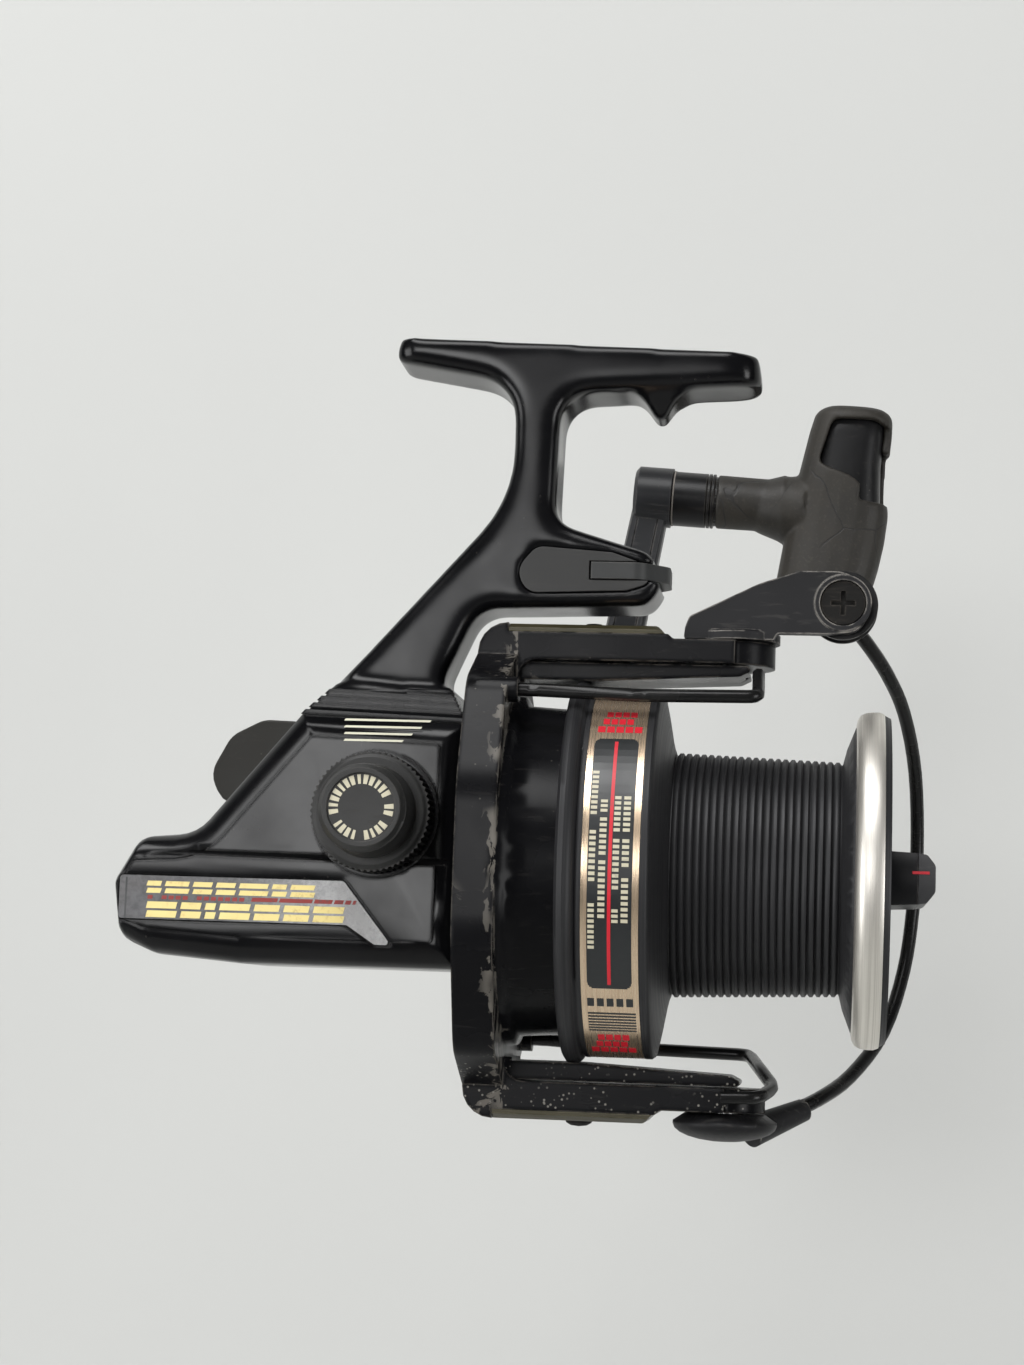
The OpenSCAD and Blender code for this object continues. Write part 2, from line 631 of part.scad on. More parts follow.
module retrieve_cap() color(black_paint) at_drive() {
    base = -half_case - 1.5;
    ring = cap_h * 0.36;
    translate([0, base, 0]) rotate([90, 0, 0]) {
        toothed(cap_d / 2, 0.35, 60, ring);
        translate([0, 0, ring]) cylinder(h = 0.8, r1 = cap_d / 2 - 0.4, r2 = cap_d / 2 - 1.4);
        translate([0, 0, ring]) cylinder(h = cap_h - ring - 1.4, r1 = cap_d / 2 - 2.6, r2 = cap_d / 2 - 3.2);
        translate([0, 0, cap_h - 1.5]) difference() {
            cylinder(h = 1.5, r1 = cap_d / 2 - 3.2, r2 = cap_d / 2 - 4.2);
            translate([0, 0, 1]) cylinder(h = 1, r = cap_d / 2 - 5.2);
        }
    }
    bar_y(base - 1, -2, drive_shaft_r - 1.4 - seat_gap);
}

fork_r = 6.6;
tongue_h = 9;
ear_t = 3.4;
module handle_base() color(satin_grey) at_drive() {
    start = half_case + boss_out + 0.9;
    root = crank_out - fork_r - 1.6;
    difference() {
        union() {
            bar_y(2, start + 1, drive_shaft_r - 1.4 - seat_gap);
            bar_y(start, start + 3, drive_shaft_r + 3);
            translate([0, start + 3, 0]) rotate([-90, 0, 0])
                cylinder(h = root - start - 3, r1 = drive_shaft_r + 2.4, r2 = drive_shaft_r + 1.6);
            translate([-fork_r, root - 6, -tongue_h / 2 - ear_t]) cube([2 * fork_r, 7.6 + fork_r, tongue_h + 2 * ear_t]);
            translate([0, crank_out, -tongue_h / 2 - ear_t]) cylinder(h = tongue_h + 2 * ear_t, r = fork_r);
        }
        translate([-20, root + 0.4, -tongue_h / 2 - 0.3]) cube([40, 40, tongue_h + 0.6]);
        translate([0, crank_out, -20]) cylinder(h = 40, r = 2 + seat_gap);
    }
}

module fold_pin() color(steel) at_drive() translate([0, crank_out, 0]) {
    translate([0, 0, -tongue_h / 2 - ear_t - 0.4]) cylinder(h = tongue_h + 2 * ear_t + 0.8, r = 2);
    translate([0, 0, tongue_h / 2 + ear_t + 0.1]) cylinder(h = 1.2, r = 3.4);
}

// ---- folding crank and T-knob ----

crank_half = crank_w / 2;
crank_t = 7.6;
hub_r = 6.9;
hub_len = 8.7;
collar_len = 10;
spindle_r = 2.4;
knob_bar_x = 42.3;
knob_shift = -1;
module at_crank() { translate([drive_x, crank_out, drive_z]) children(); }
module at_hub() { translate([hub_x, crank_out, hub_z]) rotate([0, knob_tilt, 0]) children(); }

module crank_arm() color(satin_grey) {
    side = crank_half / cos(lean);
    foot = tan(lean) * tongue_h / 2;
    pts = [
        [2, -tongue_h / 2 + 0.3, 0.8],
        [shank_len + crank_half + 1, -tongue_h / 2 + 0.3, 6],
        [shank_len + side + crank_len * tan(lean), crank_len, 0.5],
        [shank_len - side + crank_len * tan(lean), crank_len, 0.5],
        [shank_len - side + foot, tongue_h / 2 - 0.3, 3],
        [2, tongue_h / 2 - 0.3, 0.8],
    ];
    difference() {
        union() {
            at_crank() difference() {
                soft_slab(pts, -crank_t / 2, crank_t / 2, 1.7, 5, 2);
                translate([0, 0, -20]) cylinder(h = 40, r = 3);
            }
            at_crank() translate([0, 0, -tongue_h / 2]) cylinder(h = tongue_h, r = fork_r - 1);
            at_hub() bar_x(-hub_len / 2 + 0.8, hub_len / 2, hub_r);
            at_hub() translate([-hub_len / 2, 0, 0]) rotate([0, 90, 0])
                cylinder(h = 0.8, r1 = hub_r - 1, r2 = hub_r);
        }
        at_crank() translate([0, 0, -20]) cylinder(h = 40, r = 2 + run_gap);
        at_hub() bar_x(-hub_len / 2 + 1, hub_len, spindle_r + seat_gap);
    }
}

module knob_collar() color(black_paint) at_hub() {
    bar_x(-hub_len / 2 + 1.2, knob_bar_x + 6, spindle_r);
    bar_x(hub_len / 2 + 0.1, hub_len / 2 + collar_len - 2.4, 6.3);
    for (i = [0:2]) bar_x(hub_len / 2 + collar_len - 2.6 + i * 0.9, hub_len / 2 + collar_len - 2 + i * 0.9, 6.3);
    bar_x(hub_len / 2 + 1, hub_len / 2 + collar_len, 5.8);
}

// Rounded section of the T-bar at height h, shrunk by d: the bar leans and thins upward
function bar_ring(h, d) =
    let (up = max(0, h) / knob_len, w = knob_w / 2 * (1 - 0.3 * up) - d, t = knob_t / 2 * (1 - 0.1 * up) - d)
    let (bulge = 0.75 * max(0, 1 - pow((h + 6) / 15, 2)))
    [for (k = [0:23]) let (a = 15 * k, c = cos(a), q = sin(a))
        [0.1 * h + bulge + (w + bulge) * sign(c) * pow(abs(c), 0.7), t * sign(q) * pow(abs(q), 0.7), 0]];
module t_form(d) {
    end = knob_len / 2 - d;
    round_end = [[1, 4.2], [0.985, 2.4], [0.95, 1], [0.9, 0.25]];
    levels = concat([for (e = round_end) [-e[0] * end, e[1]]], [for (i = [-3:3]) [end * 0.25 * i, 0]],
        [for (i = [3:-1:0]) [round_end[i][0] * end, round_end[i][1]]]);
    translate([knob_bar_x, 0, knob_shift])
        loft([for (l = levels) [for (p = bar_ring(l[0], d + l[1])) [p[0], -p[1], l[0]]]]);
    translate([hub_len / 2 + collar_len + 0.4 + d * 0.5, 0, 0]) rotate([0, 90, 0])
        cylinder(h = knob_bar_x - 6 - hub_len / 2 - collar_len, r1 = 6.2 - d, r2 = 6 - d);
    translate([knob_bar_x - knob_w / 2 - 7, 0, -0.5]) rotate([0, 90, 0]) cylinder(h = 5.5, r1 = 6 - d, r2 = 7.8 - d);
    translate([knob_bar_x - knob_w / 2 - 1.6, 0, -0.8]) rotate([0, 90, 0]) cylinder(h = 5, r1 = 7.7 - d, r2 = 8.3 - d);
}

module knob_core() color(black_paint) at_hub() difference() {
    t_form(1.8);
    bar_x(0, knob_bar_x + 6.4, spindle_r + run_gap);
}

module knob_grip() color(olive_rubber) at_hub() difference() {
    t_form(0);
    t_form(1.75);
    bar_x(0, knob_bar_x + 6.4, spindle_r + run_gap + 0.5);
    // the worn patch at the bar's upper end
    translate([0, -20, 0]) plate_xz(rounded([
        [knob_bar_x - 5, 9.6, 2], [knob_bar_x + 2.6, 7, 2], [knob_bar_x + 14, -0.6, 1], [knob_bar_x + 14, 18, 2],
        [knob_bar_x + 7, 20.6, 2], [knob_bar_x - 2.4, 20.2, 2]]), 0, 17);
    translate([knob_bar_x + 5, -20, 1.5]) cube([20, 24, 12]);
}

// ---- rotor ----

pivot_pin_r = 2.5;
hub_gap = 0.35;
hub_t = 2;
guard_r = guard_wire_d / 2;
guard_y = 23.5;
guard_z = 34;
cover_plate_t = 1.8;
arm_profile = [
    [plate_x, 0, 0], [cup_x, 0, 0], [cup_x, arm_in, 4], [pivot_x, arm_in, 0], [pivot_x, arm_step, 0],
    [cover_end + 1.6, arm_step, 1], [cover_end + 0.6, arm_reach - cover_plate_t, 0.4],
    [cover_start - 0.1, arm_reach - cover_plate_t, 0], [cover_start - 0.1, arm_reach, 0], [plate_x, arm_reach, 6],
];
rail_profile = [[plate_x + 3, arm_in - 4.9, 0], [pivot_x + 1, arm_in - 2.5, 1.5], [pivot_x + 3, arm_in - 1.5, 0.5],
    [pivot_x + 3, arm_in - 0.35, 0.8], [cup_x + 3, arm_in - 0.35, 0], [plate_x + 3, arm_in - 0.35, 0]];
plate_side = [[half_arm, arm_reach - 6.4, 4], [25.6, arm_reach - 13.4, 9], [35, 15, 22]];
cup_end = min(rim_x + 10, flange_x - 4.6 - stroke);
cup_profile = [
    [plate_x + 1, 0], [plate_x + 1, 32], [plate_x + 2, 34], [cup_x - 1, 35.4], [cup_x + 1.6, 35],
    [cup_x + 2.4, cup_r + 0.4], [cup_end, cup_r - 0.4], [cup_end, cup_r - 2.4], [cup_x + 1, cup_r - 2],
    [cup_x, cup_r - 3], [cup_x, 0],
];

module rotor() color(black_paint) at_axis() difference() {
    union() {
        for (over = [false, true]) half_turn(over) {
            plate_xz(rounded(arm_profile), -half_arm, half_arm);
            plate_xz(rounded(rail_profile), -half_arm + 1.5, half_arm - 1.5);
            translate([pivot_x, 0, arm_in]) cylinder(h = arm_step - arm_in, r = boss_r);
            // socket of the guard wire
            translate([0, -guard_y, guard_z]) bar_x(plate_x + 2, cup_x + 2.2, guard_r + 1.2);
        }
        turned(cup_profile);
        // plate that widens from the arms to the hub disc
        rotate([90, 0, 90]) translate([0, 0, plate_x]) linear_extrude(plate_t) polygon(rounded(concat(
            plate_side,
            [for (i = [2:-1:0]) [plate_side[i][0], -plate_side[i][1], plate_side[i][2]]],
            [for (p = plate_side) [-p[0], -p[1], p[2]]],
            [for (i = [2:-1:0]) [-plate_side[i][0], plate_side[i][1], plate_side[i][2]]])));
    }
    // recess for the bearing nose, pinion bore, room for the spool's rim
    bar_x(plate_x - 1, nose_front + free_gap, nose_r + free_gap);
    bar_x(plate_x - 1, cup_x + 1, pinion_r + seat_gap);
    difference() {
        bar_x(rim_x - stroke - 1, pivot_x + 10, rim_r + free_gap);
        bar_x(rim_x - stroke - 2, pivot_x + 11, rim_r - 2);
    }
    for (over = [false, true]) half_turn(over) {
        translate([pivot_x, 0, arm_in - 2]) cylinder(h = 10, r = pivot_pin_r + seat_gap);
        translate([arm_screw_x, 0, arm_in + 0.4]) cylinder(h = 10, r = 1.5 + seat_gap);
        translate([0, -guard_y, guard_z]) bar_x(cup_x - 4, cup_x + 10, guard_r + seat_gap);
    }
}

module arm_cover(over) color([0.27, 0.26, 0.18]) at_axis() half_turn(over) difference() {
    intersection() {
        plate_xz(rounded([[cover_start, arm_reach - cover_plate_t + 0.02, 0],
            [cover_end, arm_reach - cover_plate_t + 0.02, 0],
            [cover_end - 1.6, arm_reach, 1.2], [cover_start, arm_reach, 0]]), -half_arm, half_arm);
        rotate([90, 0, 90]) translate([0, 0, cover_start - 1]) linear_extrude(cover_end - cover_start + 2)
            polygon([[-half_arm, arm_in], [half_arm, arm_in], [half_arm, arm_reach - 1], [half_arm - 2, arm_reach],
                [-half_arm + 2, arm_reach], [-half_arm, arm_reach - 1]]);
    }
    translate([arm_screw_x, 0, arm_in]) cylinder(h = 10, r = 1.5 + 0.1);
}
module upper_arm_cover() { arm_cover(false); }
module lower_arm_cover() { arm_cover(true); }

module arm_cover_screws() color(steel) at_axis() for (over = [false, true]) half_turn(over)
    translate([arm_screw_x, 0, 0]) {
        translate([0, 0, arm_in + 0.6]) cylinder(h = arm_t - 0.6, r = 1.5);
        translate([0, 0, arm_reach + 0.02]) rotate_extrude() polygon([[0, 0], [2.8, 0], [2.5, 0.6], [1.6, 1.1], [0, 1.3]]);
    }

module pivot_pins() color(steel) at_axis() for (over = [false, true]) half_turn(over)
    translate([pivot_x, 0, 0]) {
        top = arm_step + hub_gap + (over ? 1.6 : hub_t) + 0.15;
        translate([0, 0, arm_in + 0.2]) cylinder(h = top - arm_in - 0.2, r = pivot_pin_r);
        translate([0, 0, top]) cylinder(h = 1, r = pivot_pin_r + 1.6);
    }

// Guard wires from their sockets, clear of the turning skirt, to the bosses at the arm ends
guard_path = bent_path([
    [cup_x - 3.4, -guard_y, guard_z], [cup_x + 5, -guard_y, guard_z], [16, -24, arm_in - 8.6],
    [pivot_x + 5.2, -22.6, arm_in - 8.2], [pivot_x + 4.8, -7, arm_in - 1.7], [pivot_x + 4.6, -3, arm_in - 1.7]], 2.2, 5);
guard_path_hook = bent_path([
    [cup_x - 3.4, -guard_y, guard_z], [cup_x + 5, -guard_y, guard_z], [16, -24.3, arm_in - 6.7],
    [pivot_x + 4, -21, arm_in - 6.3], [pivot_x + 6.8, -6, arm_in - 3.5], [pivot_x + 9.6, 2, arm_in - 0.4],
    [pivot_x + 6.8, 10.8, arm_in + 1.5], [pivot_x - 0.6, 11.2, arm_in + 1.7]], 2.6, 4);

module upper_guard_wire() color(black_paint) at_axis() wire(guard_path, guard_r);
module lower_guard_wire() color(black_paint) at_axis() half_turn(true) wire(guard_path_hook, guard_r);

module rotor_nut() color(steel) at_axis() difference() {
    translate([cup_x + 0.02, 0, 0]) rotate([0, 90, 0]) cylinder(h = 3.6, r = 9, $fn = 6);
    bar_x(cup_x - 1, cup_x + 5, pinion_r + seat_gap);
}

module pinion() color(brass) at_axis() difference() {
    union() {
        bar_x(-20.4, cup_x + 4.4, pinion_r);
        translate([-31, 0, 0]) rotate([0, 90, 0]) toothed(pinion_r - 0.1, 1.1, pinion_teeth, 10.8);
    }
    bar_x(-40, 10, shaft_r + run_gap);
}

// ---- bail ----

hub_low = arm_step + hub_gap;
roller_x = 55.2;
roller_z = hub_low + 7.85;
plate_y = -6.8;
plate_outline = [
    [23.6, hub_low + 0.1, 0.5], [23.8, hub_low + 2.3, 1], [24.6, roller_z - 3.2, 1.5], [38.6, roller_z + 3.7, 20],
    [46.5, roller_z + 6.3, 6], [56.6, roller_z + 6.4, 6.2], [61.6, roller_z, 5.5], [58.4, roller_z - 5.8, 4],
    [52, roller_z - 6.4, 1], [42.2, roller_z - 6.4, 1], [41.6, hub_low + 0.1, 0.5],
];

module bail_arm() color(satin_grey) at_axis() {
    difference() {
        union() {
            translate([pivot_x, 0, hub_low]) cylinder(h = hub_t - 0.3, r = boss_r + 0.9);
            translate([pivot_x, 0, hub_low]) cylinder(h = hub_t, r = boss_r + 0.5);
            plate_xz([for (i = [len(rounded(plate_outline)) - 1:-1:0]) rounded(plate_outline)[i]],
                plate_y, plate_y + bail_plate_t);
            // rim round the recessed roller screw
            translate([roller_x, 0, roller_z]) bar_y(plate_y - 0.2, plate_y + 1, 5.7);
            // web from the hub up to the plate
            translate([28, plate_y + 0.5, hub_low]) cube([12, 4.4, hub_t]);
        }
        translate([pivot_x, 0, 0]) cylinder(h = 100, r = pivot_pin_r + run_gap);
        translate([roller_x, 0, roller_z]) bar_y(plate_y - 2, plate_y + 1.2, 4.6);
        translate([roller_x, 0, roller_z]) bar_y(plate_y - 3, plate_y + 9, 1.6 + seat_gap);
    }
}

module roller_screw() color(steel) at_axis() translate([roller_x, 0, roller_z]) difference() {
    union() {
        bar_y(plate_y + 0.2, plate_y + 1.18, 4.4);
        bar_y(plate_y + 1, wire_y + 0.3, 1.6);
    }
    for (a = [0, 90]) rotate([0, a, 0]) translate([-2.4, plate_y - 1, -0.45]) cube([4.8, 1.8, 0.9]);
}

roller_w = 6.4;
module line_roller() color(steel) at_axis() translate([roller_x, plate_y + bail_plate_t + 0.35, roller_z])
    rotate([-90, 0, 0]) rotate_extrude() polygon([
        [1.6 + run_gap, 0], [roller_d / 2, 0], [roller_d / 2, 0.9], [roller_d / 2 - 1.6, 2.6],
        [roller_d / 2 - 1.6, roller_w - 2.6], [roller_d / 2, roller_w - 0.9], [roller_d / 2, roller_w],
        [1.6 + run_gap, roller_w]]);

wire_r = bail_wire_d / 2;
wire_y = plate_y + bail_plate_t + roller_w + 0.7;
wire_points = [
    [roller_x, wire_y + 1.6, roller_z - 1], [56.4, 6.2, roller_z - 1.8], [60.4, 10.8, roller_z - 5.8],
    [64.8, 18, roller_z - 11.2], [68.6, 27, 36.6],
    [71.4, 37, 25], [72.3, 43.6, 9], [71.6, 44.4, -4], [69.8, 41.6, -17], [65.6, 34, -30], [58.8, 24, -39.2],
    [52.2, 15.6, -hub_low + 2.95], [46.6, 11.4, -hub_low + 0.35],
];
bail_path = smooth_path(wire_points, 4);

module bail_wire() color(black_paint) at_axis() {
    wire(bail_path, wire_r, 8, [1, 0, 0]);
    // stay that closes the roller's far side
    difference() {
        translate([roller_x, 0, roller_z]) bar_y(wire_y, wire_y + 3.2, 5.2);
        translate([roller_x, 0, roller_z]) bar_y(0, wire_y + 1.6, 1.6 + seat_gap);
    }
}

module bail_hub() color(satin_grey) at_axis() {
    low = -hub_low;
    difference() {
        union() {
            translate([pivot_x, 0, low]) rotate_extrude() polygon(concat(
                [[0, 0], [boss_r, 0], [boss_r + 2.4, -1.6]],
                [for (i = [0:6]) let (a = 15 * i) [(boss_r + 2.4) * cos(a), -2.2 - 3.4 * sin(a)]]));
            strut([pivot_x + 5, 4.4, low - 3.6], [49.4, 13.5, low + 0.85], 3.2, 2.3);
        }
        translate([pivot_x, 0, low - 2.8]) cylinder(h = 10, r = pivot_pin_r + run_gap);
        translate([pivot_x, 0, low - 3.2]) cylinder(h = 1.6, r = pivot_pin_r + 2);
        wire([for (i = [len(bail_path) - 5:len(bail_path) - 1]) bail_path[i]], wire_r + 0.2);
    }
}

// ---- main shaft, slider and spool ----

module main_shaft() color(steel) at_axis() {
    bar_x(slider_x - 1, front_x - 3, shaft_r);
    // cross pin behind the click gear
    translate([band_x - 0.4, 0, -5]) cylinder(h = 10, r = 0.9);
}

slider_top = 4.2;
slider_x = -58.5;
slider_len = 11;
slider_screw_x = slider_x + slider_len / 2;
module slider() color(satin_grey) at_axis() difference() {
    translate([slider_x, rod_y - 3.3, rod_z - 3.2]) cube([slider_len, gear_y - 1 - rod_y + 3.3, slider_top - rod_z + 3.2]);
    translate([slider_screw_x, 0, 0]) cylinder(h = 10, r = 1.3 + seat_gap);
    bar_x(-80, 0, shaft_r + seat_gap);
    translate([0, rod_y, rod_z]) bar_x(-80, 0, rod_r + run_gap);
    translate([slider_screw_x - 3.1, gear_y - 3, rod_z - 4]) cube([6.2, 4, 20]);
}

module slider_screw() color(steel) at_axis() translate([slider_screw_x, 0, shaft_r + seat_gap]) {
    cylinder(h = slider_top - shaft_r + 0.3, r = 1.3);
    translate([0, 0, slider_top - shaft_r]) cylinder(h = 1.6, r = 2.6);
}

barrel_step = barrel_len / rib_count;
barrel_outline = [for (i = [0:rib_count - 1]) each
    let (x = barrel_x + 0.5 + (barrel_len - 1) * i / rib_count, r = barrel_r + (barrel_front_r - barrel_r) * i / rib_count)
    [[x, r - rib_h], [x + barrel_step * 0.28, r], [x + barrel_step * 0.68, r], [x + barrel_step * 0.92, r - rib_h]]];
spool_rear = [
    [rim_x + 1.4, skirt_r - skirt_wall], [rim_x, rim_r - 2], [rim_x, rim_r - 1.2], [rim_x + 0.6, rim_r - 0.3], [rim_x + 1.6, rim_r],
    [rim_x + 2.6, rim_r - 0.2], [rim_x + 3.4, rim_r - 1], [rim_x + 3.8, skirt_r - 0.5], [rim_x + 4.3, skirt_r],
    [band_x, skirt_r], [band_x, skirt_r - 0.5], [band_x + band_w, skirt_r - 0.5], [band_x + band_w, skirt_r],
    [flange_x - 0.8, skirt_r], [flange_x - 0.2, skirt_r - 0.4], [flange_x + 0.6, skirt_r - 4],
    [flange_x + 1.6, barrel_r + 3], [flange_x + 2.1, barrel_r + 1], [barrel_x + 0.3, barrel_r - rib_h],
];
spool_front = [
    [barrel_end - 0.3, barrel_front_r - rib_h], [barrel_end, barrel_front_r + 0.6], [barrel_end + 0.5, barrel_front_r + 2.6],
    [lip_x, lip_r - 3.2], [front_x - 1.2, lip_r - 3.2], [front_x - 1.2, lip_r - 0.6], [front_x, lip_r - 1.2], [front_x, lip_r - 4.4],
    [front_x - 3, lip_r - 7], [front_x - 5, lip_r - 14], [front_x - 5, drag_pocket_r + 0.6], [front_x - 5.6, drag_pocket_r],
    [drag_pocket_x, drag_pocket_r], [drag_pocket_x, shaft_r + run_gap],
];
spool_inside = [
    [band_x + 3.4, shaft_r + run_gap], [band_x + 3.4, 8.4], [band_x + 8, 9], [flange_x - 4, 14],
    [flange_x - 3, skirt_r - skirt_wall - 3], [flange_x - 5.4, skirt_r - skirt_wall],
];

module spool() color(black_paint) at_axis() turned(concat(spool_rear, barrel_outline, spool_front, spool_inside));

module spool_lip() color(steel) at_axis() turned([
    [lip_x + 0.05, lip_r - 3.15], [lip_x + 0.3, lip_r - 1.6], [lip_x + 0.9, lip_r - 0.7], [lip_x + 2, lip_r - 0.15],
    [lip_x + 3.2, lip_r], [front_x - 2.2, lip_r], [front_x - 1.25, lip_r - 0.4], [front_x - 1.25, lip_r - 3.15]]);

module label_band() color(gold) at_axis() turned([
    [band_x + 0.06, skirt_r - 0.46], [band_x + 0.06, skirt_r - 0.06], [band_x + band_w - 0.06, skirt_r - 0.06],
    [band_x + band_w - 0.06, skirt_r - 0.46]]);

module click_gear() color(steel) at_axis() difference() {
    translate([band_x + 1.2, 0, 0]) rotate([0, 90, 0]) toothed(11, 1, 36, 2);
    bar_x(0, 30, shaft_r + run_gap);
}

module drag_washers() color([0.62, 0.58, 0.5]) at_axis() for (i = [0:washer_count - 1]) difference() {
    bar_x(drag_pocket_x + 0.05 + i * (washer_t + 0.1), drag_pocket_x + 0.05 + i * (washer_t + 0.1) + washer_t,
        i % 2 == 0 ? drag_pocket_r - 0.5 : drag_pocket_r - 1.2);
    bar_x(0, 100, shaft_r + 0.3);
}

drag_stack_end = drag_pocket_x + washer_count * (washer_t + 0.1);
module washer_clip() color(steel) at_axis() translate([drag_stack_end + 0.1, 0, 0]) rotate([0, 90, 0])
    linear_extrude(0.8) difference() {
        circle(r = drag_pocket_r - 0.05);
        circle(r = drag_pocket_r - 1.2);
        translate([0, -2]) square([20, 4]);
    }

knob_base = drag_stack_end + 1.4;
bar_half = 12.6;
module drag_knob() color(satin_grey) at_axis() difference() {
    union() {
        turned([[knob_base, 0], [knob_base, 12.8], [front_x - 6.4, 12.8], [front_x - 5.4, 12], [front_x - 4.6, 0]]);
        intersection() {
            plate_xz(rounded([[front_x - 6, -5.6, 0], [front_x + 5.6, -5, 0], [front_x + 5.6, 5, 0], [front_x - 6, 5.6, 0]]),
                -bar_half, bar_half);
            rotate([0, 90, 0]) translate([0, 0, knob_base]) cylinder(h = 60, r = bar_half);
        }
    }
    bar_x(0, front_x - 2.6, shaft_r + run_gap);
}

module drag_knob_tip() color([0.6, 0.6, 0.6]) at_axis() intersection() {
    plate_xz(rounded([[front_x + 5.65, -5, 0], [front_x + 7.4, -4.7, 1], [front_x + 9, -2.6, 1.5], [front_x + 9, 2.6, 1.5],
        [front_x + 7.4, 4.7, 1], [front_x + 5.65, 5, 0]]), -bar_half, bar_half);
    rotate([0, 90, 0]) cylinder(h = 100, r = bar_half);
}

housing();
side_cover();
cover_screws();
side_plate();
arm_inlay();
trip_bumper();
near_bearing();
far_bearing();
pinion_bearing();
bearing_clip();
guide_rod();
anti_reverse_lever();
pawl();
oscillation_gear();
drive_gear();
ratchet_wheel();
retrieve_cap();
handle_base();
fold_pin();
crank_arm();
knob_collar();
knob_core();
knob_grip();
rotor();
upper_arm_cover();
lower_arm_cover();
arm_cover_screws();
pivot_pins();
upper_guard_wire();
lower_guard_wire();
rotor_nut();
pinion();
bail_arm();
bail_wire();
bail_hub();
roller_screw();
line_roller();
main_shaft();
slider();
slider_screw();
spool();
spool_lip();
label_band();
click_gear();
drag_washers();
washer_clip();
drag_knob();
drag_knob_tip();
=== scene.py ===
import json
import math

import bmesh
import bpy
from mathutils import Matrix, Vector

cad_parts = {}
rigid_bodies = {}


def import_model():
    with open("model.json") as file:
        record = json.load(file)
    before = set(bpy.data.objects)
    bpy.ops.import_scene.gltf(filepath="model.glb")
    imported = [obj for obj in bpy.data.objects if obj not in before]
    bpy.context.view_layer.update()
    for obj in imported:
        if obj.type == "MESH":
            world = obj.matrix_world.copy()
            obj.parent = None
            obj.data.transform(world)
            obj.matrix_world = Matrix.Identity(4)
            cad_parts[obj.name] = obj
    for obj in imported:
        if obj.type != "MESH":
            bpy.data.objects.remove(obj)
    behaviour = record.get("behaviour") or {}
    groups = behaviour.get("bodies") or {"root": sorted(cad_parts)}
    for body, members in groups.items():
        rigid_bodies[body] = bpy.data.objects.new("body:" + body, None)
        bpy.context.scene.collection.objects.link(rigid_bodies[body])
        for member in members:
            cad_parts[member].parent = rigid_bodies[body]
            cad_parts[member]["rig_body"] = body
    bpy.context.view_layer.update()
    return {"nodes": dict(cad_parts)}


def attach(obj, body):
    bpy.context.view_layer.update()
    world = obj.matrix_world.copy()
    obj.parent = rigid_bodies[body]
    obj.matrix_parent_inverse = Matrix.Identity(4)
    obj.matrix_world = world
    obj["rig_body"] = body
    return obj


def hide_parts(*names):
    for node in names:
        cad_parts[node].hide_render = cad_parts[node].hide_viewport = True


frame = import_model()

mm = 0.001
spindleZ = -106.8  # height of the spindle axis, mm
driveX, driveZ = -35.5, -97.5  # drive axle, mm


def startMaterial(name):
    mat = bpy.data.materials.new(name)
    mat.use_nodes = True
    tree = mat.node_tree
    shader = tree.nodes["Principled BSDF"]
    coord = tree.nodes.new("ShaderNodeTexCoord")
    return mat, tree, shader, coord.outputs["Object"]


def addNode(tree, kind, links=None, **settings):
    node = tree.nodes.new(kind)
    for key, value in settings.items():
        setattr(node, key, value)
    for key, value in (links or {}).items():
        if isinstance(value, bpy.types.NodeSocket):
            tree.links.new(value, node.inputs[key])
        else:
            node.inputs[key].default_value = value
    return node


def noise(tree, vector, scale, detail=3.0, rough=0.5, distortion=0.0):
    return addNode(tree, "ShaderNodeTexNoise", {
        "Vector": vector, "Scale": scale, "Detail": detail, "Roughness": rough,
        "Distortion": distortion}).outputs["Fac"]


def stretched(tree, vector, scale, turn=(0, 0, 0)):
    return addNode(tree, "ShaderNodeMapping", {
        "Vector": vector, "Scale": scale, "Rotation": turn}).outputs["Vector"]


def ramp(tree, value, low, high, toLow=0.0, toHigh=1.0):
    return addNode(tree, "ShaderNodeMapRange", {
        "Value": value, "From Min": low, "From Max": high, "To Min": toLow,
        "To Max": toHigh}, interpolation_type="SMOOTHSTEP").outputs["Result"]


def maths(tree, operation, a, b=0.0):
    return addNode(tree, "ShaderNodeMath", {0: a, 1: b}, operation=operation).outputs[0]


def lengthRamp(tree, value, pair):
    return ramp(tree, value, pair[0] * mm, pair[1] * mm)


def product(tree, first, *others):
    for other in others:
        first = maths(tree, "MULTIPLY", first, other)
    return first


def blendColour(tree, factor, a, b):
    node = addNode(tree, "ShaderNodeMix", {"Factor": factor}, data_type="RGBA")
    for socket, value in ((node.inputs[6], a), (node.inputs[7], b)):
        if isinstance(value, bpy.types.NodeSocket):
            tree.links.new(value, socket)
        else:
            socket.default_value = (*value, 1)
    return node.outputs[2]


def edgeMask(tree, radius, reach):
    # 0 on open faces, 1 on sharp outer and inner edges
    rounded = addNode(tree, "ShaderNodeBevel", {"Radius": radius * mm}, samples=4).outputs[0]
    plain = addNode(tree, "ShaderNodeNewGeometry").outputs["Normal"]
    dot = addNode(tree, "ShaderNodeVectorMath", {0: rounded, 1: plain}, operation="DOT_PRODUCT")
    return ramp(tree, dot.outputs["Value"], 0.98, 1.0 - reach)


